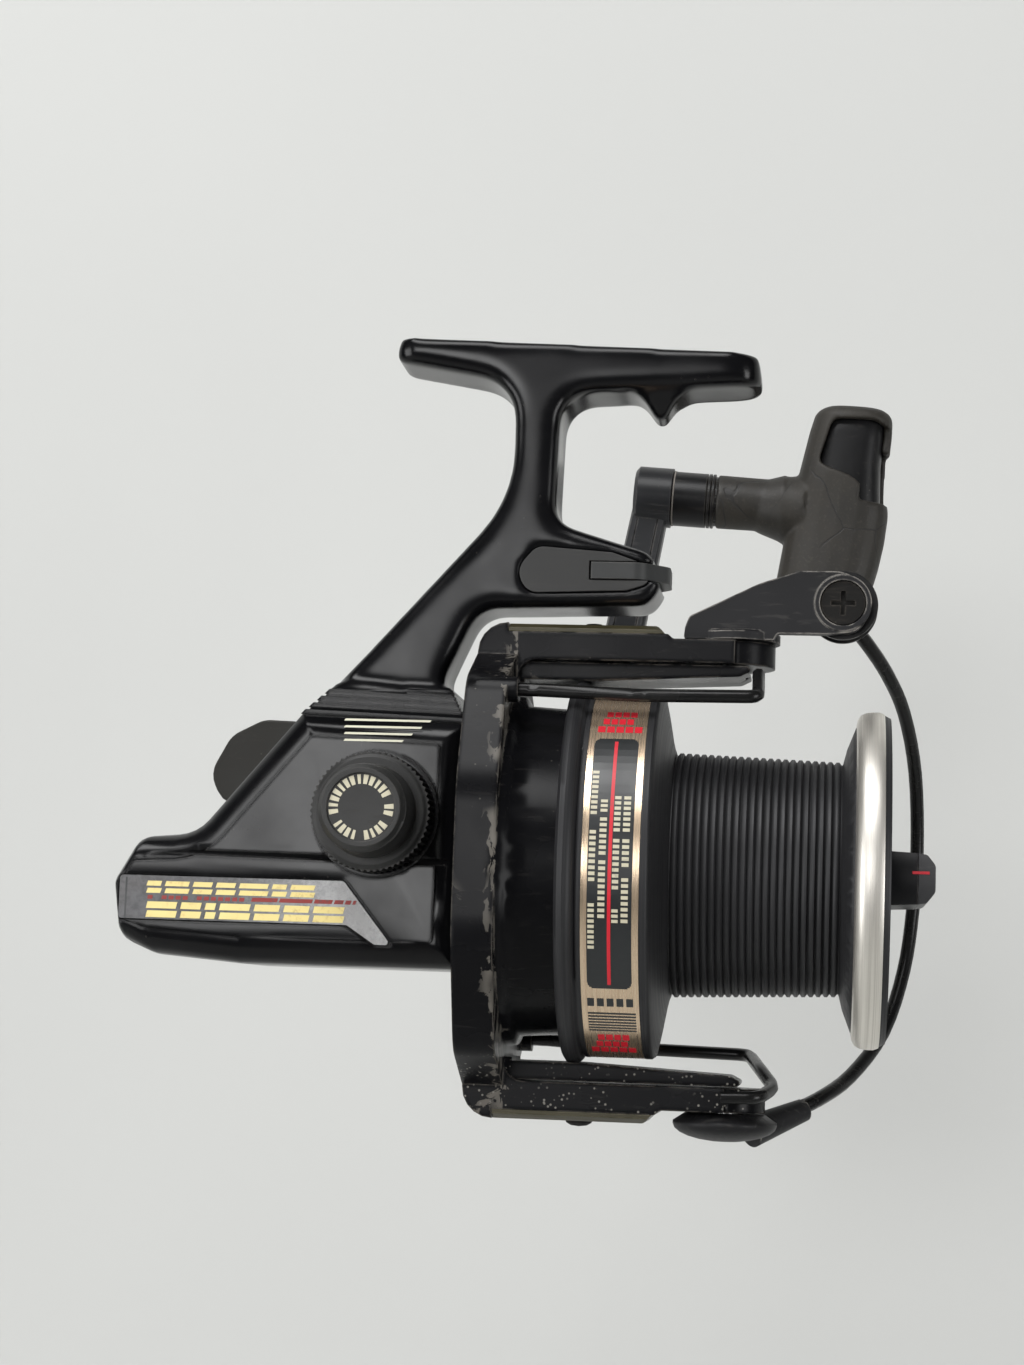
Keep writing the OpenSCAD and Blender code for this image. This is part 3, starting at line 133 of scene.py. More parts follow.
# in the finishes below, lengths are in mm and noise scales per metre; a pair that ends in Mask or Range says
# where a mask starts and where it is full
wornFinishes = {  # what makeWornFinish is given for each painted or moulded surface
    "glossEnamel": dict(
        base=(0.003, 0.003, 0.0036), rough=0.18, spec=0.24, roundEdge=0.9, edge=0.25, edgeReach=0.22,
        edgeColour=(0.075, 0.07, 0.064), dust=0.35, scuff=0.12, bump=0.006),
    "rotorEnamel": dict(
        base=(0.0042, 0.0042, 0.005), rough=0.27, spec=0.11, roundEdge=1.2, edge=0.7, edgeReach=0.16,
        edgeColour=(0.17, 0.155, 0.135), chips=0.85, dust=0.8, scuff=0.2, bump=0.01),
    "charcoalCast": dict(
        base=(0.012, 0.012, 0.013), rough=0.46, spec=0.2, edge=1.0, edgeReach=0.1,
        edgeColour=(0.34, 0.32, 0.29), chips=0.15, dust=0.9, scuff=0.35, bump=0.12),
    "crankPaint": dict(
        base=(0.018, 0.0185, 0.02), rough=0.36, edge=0.55, edgeReach=0.2,
        edgeColour=(0.2, 0.19, 0.18), chips=0.1, dust=0.5, scuff=0.7, bump=0.05),
    "oliveStrip": dict(
        base=(0.041, 0.036, 0.019), rough=0.32, edge=0.45, edgeReach=0.2,
        edgeColour=(0.2, 0.18, 0.13), chips=0.1, dust=0.6, scuff=0.5, bump=0.03),
    "oliveLever": dict(
        base=(0.013, 0.0122, 0.0098), rough=0.42, edge=0.2, edgeReach=0.3,
        edgeColour=(0.12, 0.11, 0.09), dust=0.3, scuff=0.4, bump=0.04),
    "blackKnob": dict(
        base=(0.0065, 0.0065, 0.007), rough=0.34, edge=0.5, edgeReach=0.25,
        edgeColour=(0.1, 0.09, 0.075), dust=0.7, scuff=0.7, bump=0.04),
    # a lighter copy of blackKnob's black for the whole cap: painted sheen standing in for the highlights of
    # its radially brushed face
    "capPaintedSheen": dict(
        base=(0.02, 0.02, 0.0195), rough=0.4, spec=0.3, edge=0.4, edgeReach=0.25,
        edgeColour=(0.12, 0.11, 0.1), dust=0.7, scuff=0.9, bump=0.06),
    "satinGrey": dict(
        base=(0.031, 0.031, 0.0305), rough=0.42, edge=0.3, edgeReach=0.25,
        edgeColour=(0.13, 0.125, 0.12), dust=0.3, scuff=0.4, bump=0.03),
    "bumperGrey": dict(
        base=(0.034, 0.035, 0.035), rough=0.38, edge=0.35, edgeReach=0.25,
        edgeColour=(0.2, 0.19, 0.18), dust=0.4, scuff=0.4, bump=0.03),
    "wireBlack": dict(
        base=(0.007, 0.007, 0.007), rough=0.27, edge=0.0, edgeReach=0.3,
        edgeColour=(0.2, 0.18, 0.16), chips=0.12, dust=0.4, scuff=0.4, bump=0.02),
    "dragGrey": dict(
        base=(0.007, 0.007, 0.008), rough=0.34, edge=0.4, edgeReach=0.25,
        edgeColour=(0.12, 0.11, 0.1), dust=0.3, scuff=0.4, bump=0.03),
    "tipGrey": dict(
        base=(0.045, 0.045, 0.047), rough=0.4, edge=0.2, edgeReach=0.3,
        edgeColour=(0.3, 0.3, 0.29), dust=0.3, scuff=0.4, bump=0.03),
    "wornLine": dict(
        base=(0.22, 0.2, 0.18), rough=0.5, edge=0.0, edgeReach=0.2,
        edgeColour=(0.4, 0.38, 0.35), dust=0.0, scuff=0.5, bump=0.1),
    "darkScrew": dict(
        base=(0.009, 0.0085, 0.008), rough=0.62, spec=0.12, edge=0.4, edgeReach=0.2,
        edgeColour=(0.12, 0.105, 0.09), chips=0.5, dust=0.9, scuff=0.6, bump=0.5),
}
rotorWear = dict(
    rim=(-13.4, -9.6), rimEnd=(-9.0, -9.6), nearFace=(-7.0, -8.0), chipStretch=(1.0, 1.0, 0.45),
    chipScale=330, chipHelp=0.17, chipMask=(0.645, 0.665), chipPlaces=42, chipRange=(0.4, 0.48),
    chipColour=(0.13, 0.12, 0.105), speckScale=900.0, speckMask=(0.24, 0.16), specksBelow=(-143.0, -146.0),
    speckPlaces=150, speckRange=(0.4, 0.52), speckColour=(0.2, 0.19, 0.17))


def addRotorChips(tree, place, colour):
    # bare patches along the plate's front rim, and pale specks on the lower arm
    wear = rotorWear
    x, y, z = addNode(tree, "ShaderNodeSeparateXYZ", {"Vector": place}).outputs
    nearRim = product(tree, lengthRamp(tree, x, wear["rim"]), lengthRamp(tree, x, wear["rimEnd"]),
                      lengthRamp(tree, y, wear["nearFace"]))
    patches = noise(tree, stretched(tree, place, wear["chipStretch"]), wear["chipScale"], 5, 0.6, 0.8)
    level = maths(tree, "ADD", patches, maths(tree, "MULTIPLY", nearRim, wear["chipHelp"]))
    here = ramp(tree, noise(tree, place, wear["chipPlaces"], 3), *wear["chipRange"])
    chips = product(tree, ramp(tree, level, *wear["chipMask"]), nearRim, here)
    colour = blendColour(tree, chips, colour, wear["chipColour"])
    cells = addNode(tree, "ShaderNodeTexVoronoi", {
        "Vector": place, "Scale": wear["speckScale"], "Randomness": 1.0})
    specks = ramp(tree, cells.outputs["Distance"], *wear["speckMask"])
    some = ramp(tree, noise(tree, place, wear["speckPlaces"], 2), *wear["speckRange"])
    mask = product(tree, specks, lengthRamp(tree, z, wear["specksBelow"]), some)
    return blendColour(tree, mask, colour, wear["speckColour"])


wornSurface = dict(  # what every worn enamel shares
    cloudScale=55, cloudRange=(0.35, 0.7), cloudLight=1.35, cloudLift=0.001, fineScale=900,
    rubStretch=(130, 1500, 700), rubTurn=(0.2, 0.5, 0.35), rubRange=(0.56, 0.74), rubTint=0.18, rubRough=0.2,
    dustScale=620.0, dustMask=(0.14, 0.07), dustPlaces=95, dustRange=(0.55, 0.68), dustTint=0.55,
    dustColour=(0.17, 0.16, 0.14), edgeRadius=0.55, edgeScale=230, edgeRange=(0.4, 0.58), chipScale=120,
    chipMask=(0.615, 0.63), chipPlaces=26, chipRange=(0.5, 0.6), roughRange=(0.3, 0.75), smoother=0.04,
    rougher=0.07, fineHeight=0.6, rubHeight=0.4, bumpDepth=0.2)


def makeWornFinish(name, base, rough, edge, edgeReach, edgeColour, dust, scuff, bump, spec=0.25,
                   roundEdge=0.3, chips=0.0):
    mat, tree, shader, place = startMaterial(name)
    worn = wornSurface
    cloud = noise(tree, place, worn["cloudScale"], 4)
    fine = noise(tree, place, worn["fineScale"], 5, 0.65)
    # faint rub marks, long in one direction
    rubs = noise(tree, stretched(tree, place, worn["rubStretch"], worn["rubTurn"]), 1.0, 4, 0.6, 0.4)
    rubMask = ramp(tree, rubs, *worn["rubRange"], 0.0, scuff)
    lighter = tuple(c * worn["cloudLight"] + worn["cloudLift"] for c in base)
    colour = blendColour(tree, ramp(tree, cloud, *worn["cloudRange"]), base, lighter)
    colour = blendColour(tree, maths(tree, "MULTIPLY", rubMask, worn["rubTint"]), colour, edgeColour)
    if dust:
        specks = addNode(tree, "ShaderNodeTexVoronoi", {
            "Vector": place, "Scale": worn["dustScale"], "Randomness": 1.0})
        few = ramp(tree, noise(tree, place, worn["dustPlaces"], 3), *worn["dustRange"], 0.0, dust)
        speckMask = product(tree, ramp(tree, specks.outputs["Distance"], *worn["dustMask"]), few)
        tinted = maths(tree, "MULTIPLY", speckMask, worn["dustTint"])
        colour = blendColour(tree, tinted, colour, worn["dustColour"])
    if edge:
        wearNoise = ramp(tree, noise(tree, place, worn["edgeScale"], 5, 0.62), *worn["edgeRange"], 0.0, edge)
        wear = product(tree, edgeMask(tree, worn["edgeRadius"], edgeReach), wearNoise)
        colour = blendColour(tree, wear, colour, edgeColour)
    if chips:
        patches = ramp(tree, noise(tree, place, worn["chipScale"], 6, 0.7, 0.6), *worn["chipMask"])
        where = ramp(tree, noise(tree, place, worn["chipPlaces"], 2), *worn["chipRange"], 0.0, chips)
        colour = blendColour(tree, product(tree, patches, where), colour, edgeColour)
    if name == "rotorEnamel":
        colour = addRotorChips(tree, place, colour)
    tree.links.new(colour, shader.inputs["Base Color"])
    shader.inputs["Specular IOR Level"].default_value = spec
    plain = ramp(tree, cloud, *worn["roughRange"], rough - worn["smoother"], rough + worn["rougher"])
    roughness = maths(tree, "ADD", plain, maths(tree, "MULTIPLY", rubMask, worn["rubRough"]))
    tree.links.new(roughness, shader.inputs["Roughness"])
    height = maths(tree, "ADD", maths(tree, "MULTIPLY", fine, worn["fineHeight"]),
                   maths(tree, "MULTIPLY", rubs, worn["rubHeight"]))
    bumpNode = addNode(tree, "ShaderNodeBump", {
        "Height": height, "Strength": bump, "Distance": worn["bumpDepth"] * mm})
    tree.links.new(addNode(tree, "ShaderNodeBevel", {"Radius": roundEdge * mm}, samples=6).outputs[0],
                   bumpNode.inputs["Normal"])
    tree.links.new(bumpNode.outputs["Normal"], shader.inputs["Normal"])
    return mat


foilSpec = dict(
    mottleScale=420, mottleRange=(0.35, 0.65), rearColours=((0.06, 0.06, 0.062), (0.14, 0.14, 0.145)),
    frontColours=((0.2, 0.2, 0.2), (0.42, 0.42, 0.42)), brighter=(-70, -38), cloudScale=60,
    cloudRange=(0.45, 0.7), cloudTint=0.35, cloudColour=(0.11, 0.1, 0.095), metallic=0.75, rough=(0.34, 0.5),
    bump=0.08, bumpDepth=0.1)


def makePlateMetal():
    # mottled dark metallic foil of the side plate, brighter towards its front
    mat, tree, shader, place = startMaterial("plateMetal")
    mottle = noise(tree, place, foilSpec["mottleScale"], 6, 0.7)
    cloud = noise(tree, place, foilSpec["cloudScale"], 3)
    across = addNode(tree, "ShaderNodeSeparateXYZ", {"Vector": place}).outputs["X"]
    spots = foilSpec["mottleRange"]
    colour = blendColour(tree, ramp(tree, mottle, *spots), *foilSpec["rearColours"])
    bright = blendColour(tree, ramp(tree, mottle, *spots), *foilSpec["frontColours"])
    colour = blendColour(tree, lengthRamp(tree, across, foilSpec["brighter"]), colour, bright)
    stain = ramp(tree, cloud, *foilSpec["cloudRange"], 0.0, foilSpec["cloudTint"])
    colour = blendColour(tree, stain, colour, foilSpec["cloudColour"])
    tree.links.new(colour, shader.inputs["Base Color"])
    shader.inputs["Metallic"].default_value = foilSpec["metallic"]
    tree.links.new(ramp(tree, mottle, 0.3, 0.7, *foilSpec["rough"]), shader.inputs["Roughness"])
    bumpNode = addNode(tree, "ShaderNodeBump", {
        "Height": mottle, "Strength": foilSpec["bump"], "Distance": foilSpec["bumpDepth"] * mm})
    tree.links.new(bumpNode.outputs["Normal"], shader.inputs["Normal"])
    return mat


def radiusFromAxis(tree, place):
    # the place along the spindle, the distance from its axis and the height over it
    x, y, z = addNode(tree, "ShaderNodeSeparateXYZ", {"Vector": place}).outputs
    up = maths(tree, "SUBTRACT", z, spindleZ * mm)
    flat = maths(tree, "ADD", maths(tree, "MULTIPLY", up, up), maths(tree, "MULTIPLY", y, y))
    return x, maths(tree, "SQRT", flat), up


turnedSurface = dict(
    ringScale=4200.0, roundScale=25.0, ringRange=(0.3, 0.7), cloudScale=70, cloudRange=(0.45, 0.75),
    cloudTint=0.35, cloudDark=0.8, roughSpread=0.06, bumpDepth=0.05)


def makeTurnedMetal(name, light, dark, rough, streaks, metal=1.0):
    # fine rings from the lathe or the brush, all round the spindle
    mat, tree, shader, place = startMaterial(name)
    turned = turnedSurface
    along, radius, up = radiusFromAxis(tree, place)
    ring = addNode(tree, "ShaderNodeCombineXYZ", {
        "X": maths(tree, "MULTIPLY", along, turned["ringScale"]),
        "Y": maths(tree, "MULTIPLY", radius, turned["ringScale"]),
        "Z": maths(tree, "MULTIPLY", up, turned["roundScale"])})
    rings = noise(tree, ring.outputs[0], 1.0, 3, 0.6)
    cloud = noise(tree, place, turned["cloudScale"], 4)
    colour = blendColour(tree, ramp(tree, rings, *turned["ringRange"]), dark, light)
    stain = ramp(tree, cloud, *turned["cloudRange"], 0.0, turned["cloudTint"])
    colour = blendColour(tree, stain, colour, tuple(c * turned["cloudDark"] for c in dark))
    tree.links.new(colour, shader.inputs["Base Color"])
    shader.inputs["Metallic"].default_value = metal
    spread = turned["roughSpread"]
    tree.links.new(ramp(tree, rings, *turned["ringRange"], rough + spread, rough - spread),
                   shader.inputs["Roughness"])
    bumpNode = addNode(tree, "ShaderNodeBump", {
        "Height": rings, "Strength": streaks, "Distance": turned["bumpDepth"] * mm})
    tree.links.new(bumpNode.outputs["Normal"], shader.inputs["Normal"])
    return mat


rubberSpec = dict(
    cloudScale=85, cloudRange=(0.35, 0.68), colours=((0.012, 0.0102, 0.0074), (0.021, 0.0178, 0.013)),
    fineScale=1400, fineRange=(0.52, 0.7), fineTint=0.4, fineColour=(0.045, 0.039, 0.03), wobbleScale=130.0,
    wobble=0.003, splitScale=62.0, splitMask=(0.012, 0.004), splitPlaces=45, splitRange=(0.44, 0.56),
    splitColour=(0.008, 0.007, 0.006), rough=(0.5, 0.64), fineHeight=0.25, bump=0.3, bumpDepth=0.25)


def makeGripRubber():
    # aged rubber: mottled brown with a few long splits and a fine dry surface
    mat, tree, shader, place = startMaterial("gripRubber")
    aged = rubberSpec
    cloud = noise(tree, place, aged["cloudScale"], 5, 0.6)
    fine = noise(tree, place, aged["fineScale"], 4, 0.6)
    colour = blendColour(tree, ramp(tree, cloud, *aged["cloudRange"]), *aged["colours"])
    dry = ramp(tree, fine, *aged["fineRange"], 0.0, aged["fineTint"])
    colour = blendColour(tree, dry, colour, aged["fineColour"])
    push = addNode(tree, "ShaderNodeTexNoise", {"Vector": place, "Scale": aged["wobbleScale"]})
    wobble = addNode(tree, "ShaderNodeVectorMath", {
        0: push.outputs["Color"], 1: (aged["wobble"],) * 3}, operation="MULTIPLY")
    warp = addNode(tree, "ShaderNodeVectorMath", {0: place, 1: wobble.outputs[0]}, operation="ADD")
    cells = addNode(tree, "ShaderNodeTexVoronoi", {
        "Vector": warp.outputs[0], "Scale": aged["splitScale"]}, feature="DISTANCE_TO_EDGE")
    some = ramp(tree, noise(tree, place, aged["splitPlaces"], 2), *aged["splitRange"])
    split = product(tree, ramp(tree, cells.outputs["Distance"], *aged["splitMask"]), some)
    colour = blendColour(tree, split, colour, aged["splitColour"])
    tree.links.new(colour, shader.inputs["Base Color"])
    tree.links.new(ramp(tree, cloud, 0.3, 0.7, *aged["rough"]), shader.inputs["Roughness"])
    height = maths(tree, "SUBTRACT", maths(tree, "MULTIPLY", fine, aged["fineHeight"]), split)
    bumpNode = addNode(tree, "ShaderNodeBump", {
        "Height": height, "Strength": aged["bump"], "Distance": aged["bumpDepth"] * mm})
    tree.links.new(bumpNode.outputs["Normal"], shader.inputs["Normal"])
    return mat


printSurface = dict(
    rubScale=700, rubRange=(0.52, 0.66), placeScale=90, placeRange=(0.42, 0.62), smoother=0.06, rougher=0.08)


def makePrint(name, colour, rough, metal, wear, under):
    # ink or foil, a little rubbed through
    mat, tree, shader, place = startMaterial(name)
    ink = printSurface
    rubbed = noise(tree, place, ink["rubScale"], 5, 0.7)
    where = noise(tree, place, ink["placeScale"], 3)
    mask = product(tree, ramp(tree, rubbed, *ink["rubRange"]),
                   ramp(tree, where, *ink["placeRange"], 0.0, wear))
    tree.links.new(blendColour(tree, mask, colour, under), shader.inputs["Base Color"])
    shader.inputs["Metallic"].default_value = metal
    tree.links.new(ramp(tree, where, 0.3, 0.7, rough - ink["smoother"], rough + ink["rougher"]),
                   shader.inputs["Roughness"])
    return mat


turnedMetals = {  # light and dark ring colour, roughness, height of the rings, how metallic
    "lipSilver": ((0.84, 0.81, 0.75), (0.64, 0.61, 0.56), 0.45, 0.4),
    "anodised": ((0.025, 0.025, 0.027), (0.014, 0.014, 0.0155), 0.52, 0.1, 0.3),
    "steel": ((0.6, 0.6, 0.6), (0.45, 0.45, 0.45), 0.3, 0.1),
    "brass": ((0.7, 0.52, 0.24), (0.55, 0.4, 0.17), 0.32, 0.1),
    "goldFoil": ((0.84, 0.66, 0.48), (0.7, 0.53, 0.37), 0.27, 0.4, 0.9),
}
inks = {  # colour, roughness, how metallic, how far rubbed through, and the colour underneath
    "felt": ((0.28, 0.25, 0.2), 0.85, 0.0, 0.6, (0.1, 0.09, 0.07)),
    "inkBlack": ((0.017, 0.019, 0.02), 0.34, 0.0, 0.15, (0.04, 0.04, 0.04)),
    "inkRed": ((0.62, 0.015, 0.03), 0.4, 0.0, 0.3, (0.2, 0.05, 0.04)),
    "inkRedDull": ((0.27, 0.03, 0.025), 0.45, 0.0, 0.5, (0.09, 0.06, 0.06)),
    "inkPale": ((0.78, 0.76, 0.6), 0.4, 0.0, 0.2, (0.2, 0.2, 0.16)),
    "inkCream": ((0.58, 0.54, 0.4), 0.45, 0.0, 0.3, (0.1, 0.1, 0.08)),
    "inkGold": ((0.8, 0.66, 0.27), 0.42, 0.15, 0.35, (0.35, 0.2, 0.08)),
}
finishes = {name: makeWornFinish(name, **values) for name, values in wornFinishes.items()}
finishes.update({name: makeTurnedMetal(name, *values) for name, values in turnedMetals.items()})
finishes.update({name: makePrint(name, *values) for name, values in inks.items()})
finishes["plateMetal"] = makePlateMetal()
finishes["gripRubber"] = makeGripRubber()
print("finishes made:", len(finishes))


shownNodes = {  # node: piece name, finish, and the angle from which an edge stays sharp
    "side_cover": ("bodyCover", "glossEnamel", 30),
    "side_plate": ("sidePlate", "plateMetal", 30),
    "arm_inlay": ("armInlay", "satinGrey", 30),
    "trip_bumper": ("bumperStrip", "bumperGrey", 30),
    "anti_reverse_lever": ("reverseLever", "oliveLever", 34),
    "retrieve_cap": ("axleCap", "capPaintedSheen", 30),
    "handle_base": ("crankFork", "crankPaint", 30),
    "crank_arm": ("crankArm", "crankPaint", 24),
    "knob_collar": ("knobCollar", "blackKnob", 30),
    "knob_core": ("knobInner", "blackKnob", 34),
    "rotor": ("rotorCasting", "rotorEnamel", 30),
    "upper_arm_cover": ("armStripUpper", "oliveStrip", 30),
    "lower_arm_cover": ("armStripLower", "oliveStrip", 30),
    "arm_cover_screws": ("stripScrews", "darkScrew", 30),
    "upper_guard_wire": ("guardWireUpper", "wireBlack", 50),
    "lower_guard_wire": ("guardWireLower", "wireBlack", 50),
    "bail_arm": ("bailArm", "charcoalCast", 30),
    "bail_hub": ("bailHub", "charcoalCast", 34),
    "bail_wire": ("bailWire", "wireBlack", 50),
    "roller_screw": ("rollerScrew", "darkScrew", 30),
    "line_roller": ("lineRoller", "blackKnob", 30),
    "spool": ("spoolBody", "anodised", 30),
    "spool_lip": ("spoolLip", "lipSilver", 30),
    "label_band": ("labelBand", "goldFoil", 30),
    "drag_knob": ("dragKnob", "dragGrey", 30),
    "drag_knob_tip": ("dragKnobTip", "tipGrey", 30),
}
innerFinish = {
    "brass": ("drive_gear", "oscillation_gear", "pinion", "slider"),
    "felt": ("drag_washers",),
    "darkScrew": ("cover_screws",),
}


def nodeBody(node):
    return frame["nodes"][node]["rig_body"]


def finishPiece(piece, node, finish):
    # dresses a piece, which moves with a node's body and takes its slot
    piece.data.materials.clear()
    piece.data.materials.append(finishes[finish])
    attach(piece, nodeBody(node))


def pieceFromBmesh(name, bm, node, finish, smooth=None):
    mesh = bpy.data.meshes.new(name)
    bmesh.ops.recalc_face_normals(bm, faces=bm.faces)
    bm.to_mesh(mesh)
    bm.free()
    piece = bpy.data.objects.new(name, mesh)
    bpy.context.scene.collection.objects.link(piece)
    if smooth:
        mesh.shade_smooth()
        mesh.set_sharp_from_angle(angle=math.radians(smooth))
    finishPiece(piece, node, finish)


mergeSpec = dict(weld=0.002, sliver=0.001, flatAngle=0.4, faceWeight=80)


def mergedCopy(node):
    bm = bmesh.new()
    bm.from_mesh(frame["nodes"][node].data)
    bmesh.ops.remove_doubles(bm, verts=bm.verts, dist=mergeSpec["weld"] * mm)
    bmesh.ops.dissolve_degenerate(bm, edges=bm.edges, dist=mergeSpec["sliver"] * mm)
    bmesh.ops.dissolve_limit(bm, angle_limit=math.radians(mergeSpec["flatAngle"]), verts=bm.verts,
                             edges=bm.edges)
    return bm


def shadedPiece(bm, name, node, finish, angle):
    # a piece with smooth faces and sharp edges that stands for a node
    mesh = bpy.data.meshes.new(name)
    bm.to_mesh(mesh)
    bm.free()
    mesh.shade_smooth()
    mesh.set_sharp_from_angle(angle=math.radians(angle))
    piece = bpy.data.objects.new(name, mesh)
    bpy.context.scene.collection.objects.link(piece)
    weighted = piece.modifiers.new("faceWeights", "WEIGHTED_NORMAL")
    weighted.keep_sharp = True
    weighted.weight = mergeSpec["faceWeight"]
    finishPiece(piece, node, finish)
    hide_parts(node)


for node, (name, finish, angle) in shownNodes.items():
    shadedPiece(mergedCopy(node), name, node, finish, angle)
print("castings and turned pieces:", len(shownNodes))

innerOf = {node: finish for finish, nodes in innerFinish.items() for node in nodes}
for node, part in frame["nodes"].items():
    if node not in shownNodes and node not in ("knob_grip", "housing"):
        part.data.materials.clear()
        part.data.materials.append(finishes[innerOf.get(node, "steel")])
print("inner pieces dressed")


stemSpec = dict(
    cut=-71.6, overlap=1.2, caseSharp=30, voxel=0.62, smoothing=30, smoothFactor=0.5, fadeLow=-71.0,
    fadeHigh=-64.0, flat=dict(x=(-13.0, 23.0), z=(-56.0, -40.5), y=6.5, margin=2.5))


def cutCasting(height, keepUpper):
    # one side of a level cut through the housing, closed again
    bm = mergedCopy("housing")
    cut = bmesh.ops.bisect_plane(bm, geom=[*bm.verts, *bm.edges, *bm.faces], plane_co=(0, 0, height * mm),
                                 plane_no=(0, 0, 1), clear_outer=not keepUpper, clear_inner=keepUpper)
    rim = [g for g in cut["geom_cut"] if isinstance(g, bmesh.types.BMEdge)]
    bmesh.ops.triangle_fill(bm, use_beauty=True, use_dissolve=False, edges=rim)
    bmesh.ops.recalc_face_normals(bm, faces=bm.faces)
    return bm


def fadeIn(value, low, high):
    return min(1.0, max(0.0, (value - low) / (high - low)))


def stemSoftness(co):
    # how far a point of the stem may be softened: not at the seam, nor on the flats that hold the inlay
    x, y, z = (value / mm for value in co)
    flat = stemSpec["flat"]
    inside = min(x - flat["x"][0], flat["x"][1] - x, z - flat["z"][0], flat["z"][1] - z, abs(y) - flat["y"])
    return fadeIn(z, stemSpec["fadeLow"], stemSpec["fadeHigh"]) * (1 - fadeIn(inside, 0, flat["margin"]))


def solidFrom(piece):
    # the piece with its modifiers made real
    bpy.context.view_layer.update()
    mesh = bpy.data.meshes.new_from_object(piece.evaluated_get(bpy.context.evaluated_depsgraph_get()))
    piece.modifiers.clear()
    piece.data = mesh
    return mesh


def softenedPiece(bm, name, node, finish, spec, softness=None):
    # a closed shape rebuilt in small even faces and smoothed, more or less from place to place
    mesh = bpy.data.meshes.new(name)
    bm.to_mesh(mesh)
    bm.free()
    piece = bpy.data.objects.new(name, mesh)
    bpy.context.scene.collection.objects.link(piece)
    remesh = piece.modifiers.new("remesh", "REMESH")
    remesh.mode = "VOXEL"
    remesh.voxel_size = spec["voxel"] * mm
    remesh.use_smooth_shade = True
    solidFrom(piece)
    soften = piece.modifiers.new("soften", "SMOOTH")
    soften.factor = spec["smoothFactor"]
    soften.iterations = spec["smoothing"]
    if softness:
        group = piece.vertex_groups.new(name="soft")
        for vertex in piece.data.vertices:
            group.add([vertex.index], softness(vertex.co), "REPLACE")
        soften.vertex_group = group.name
    solidFrom(piece).shade_smooth()
    piece.vertex_groups.clear()
    finishPiece(piece, node, finish)
    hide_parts(node)


stemShape = cutCasting(stemSpec["cut"] - stemSpec["overlap"], True)
softenedPiece(stemShape, "bodyStem", "housing", "glossEnamel", stemSpec, stemSoftness)
caseShape = cutCasting(stemSpec["cut"], False)
shadedPiece(caseShape, "bodyCasting", "housing", "glossEnamel", stemSpec["caseSharp"])
print("stem and case made")

gripSpec = dict(voxel=0.42, smoothing=7, smoothFactor=0.5)
softenedPiece(mergedCopy("knob_grip"), "knobGrip", "knob_grip", "gripRubber", gripSpec)
print("grip made")


inkHeight = 0.04  # mm
labelSpec = dict(  # a place across the band is a share of its width, an angle is in degrees round the spindle
    radius=36.84, left=7.06, width=10.98, onFoil=0.01, onWindow=0.05, window=(0.11, 0.885, 41.3, -39.5),
    line=(0.465, 0.525, 40.0, -38.0), stripes=(0.1, 0.94), stripeCount=7, stripeFrom=-49.4, stripePitch=1.42,
    stripeWidth=0.7, blockFrom=0.1, blockPitch=0.17, blockWidth=0.12, blockCount=5,
    blockAngles=(-43.4, -46.6), rowFill=0.82, letterPitch=1.7, letterFill=0.6, stepAngle=2.5)
windowCorner = ((0.075, 0.0), (0.035, 0.5), (0.012, 1.1), (0.0, 2.0))  # how far in, from how many degrees
letterColumns = [  # across the band from, to, then groups of angles
    (0.13, 0.24, ((28.6, 13.7), (9.5, -6.2), (-12.0, -26.5))),
    (0.3, 0.42, ((19.0, 14.6), (13.4, 1.6), (0.6, -17.0))),
    (0.54, 0.65, ((20.2, 8.6), (7.0, -8.4), (-13.6, -18.3))),
    (0.7, 0.82, ((20.2, 8.6), (7.0, -1.8), (-4.4, -18.3))),
]
redRows = [  # upper angle, lower angle, across the band from, to, number of blocks
    (55.0, 52.2, 0.27, 0.83, 4), (51.0, 48.2, 0.22, 0.78, 4), (47.0, 44.2, 0.14, 0.95, 5),
    (-60.8, -64.2, 0.24, 0.82, 4), (-65.4, -69.0, 0.2, 0.78, 4), (-70.2, -74.4, 0.1, 0.92, 5),
]


def wrappedCells(name, cells, radius, finish):
    # thin curved patches: small rectangles spun round the spindle from one angle to another
    bm = bmesh.new()
    outer = radius + inkHeight
    for x0, x1, upper, lower in cells:
        turn = Matrix.Rotation(math.radians(-upper), 4, "X")
        corners = ((x0, radius), (x1, radius), (x1, outer), (x0, outer))
        face = bm.faces.new([bm.verts.new(turn @ Vector((x * mm, -r * mm, 0))) for x, r in corners])
        steps = max(1, int((upper - lower) / labelSpec["stepAngle"]))
        bmesh.ops.spin(bm, geom=[face, *face.edges, *face.verts], cent=(0, 0, 0), axis=(1, 0, 0),
                       angle=math.radians(upper - lower), steps=steps)
    bmesh.ops.translate(bm, verts=bm.verts, vec=(0, 0, spindleZ * mm))
    pieceFromBmesh(name, bm, "label_band", finish)


def bandX(part):
    return labelSpec["left"] + part * labelSpec["width"]


def letterCells(x0, x1, upper, lower):
    count = max(1, round((upper - lower) / labelSpec["letterPitch"]))
    step = (upper - lower) / count
    fill = labelSpec["letterFill"]
    return [(bandX(x0), bandX(x1), upper - i * step, upper - (i + fill) * step) for i in range(count)]


def blockRow(upper, lower, x0, x1, count):
    step = (x1 - x0) / count
    fill = labelSpec["rowFill"]
    return [(bandX(x0 + i * step), bandX(x0 + (i + fill) * step), upper, lower) for i in range(count)]


def roundedWindow(x0, x1, upper, lower):
    # a window with rounded corners, built of rows that widen towards its middle
    rounded = windowCorner[-1][1]
    rows = [(bandX(x0), bandX(x1), upper - rounded, lower + rounded)]
    for (cut, start), (_, end) in zip(windowCorner, windowCorner[1:]):
        rows.append((bandX(x0 + cut), bandX(x1 - cut), upper - start, upper - end))
        rows.append((bandX(x0 + cut), bandX(x1 - cut), lower + end, lower + start))
    return rows


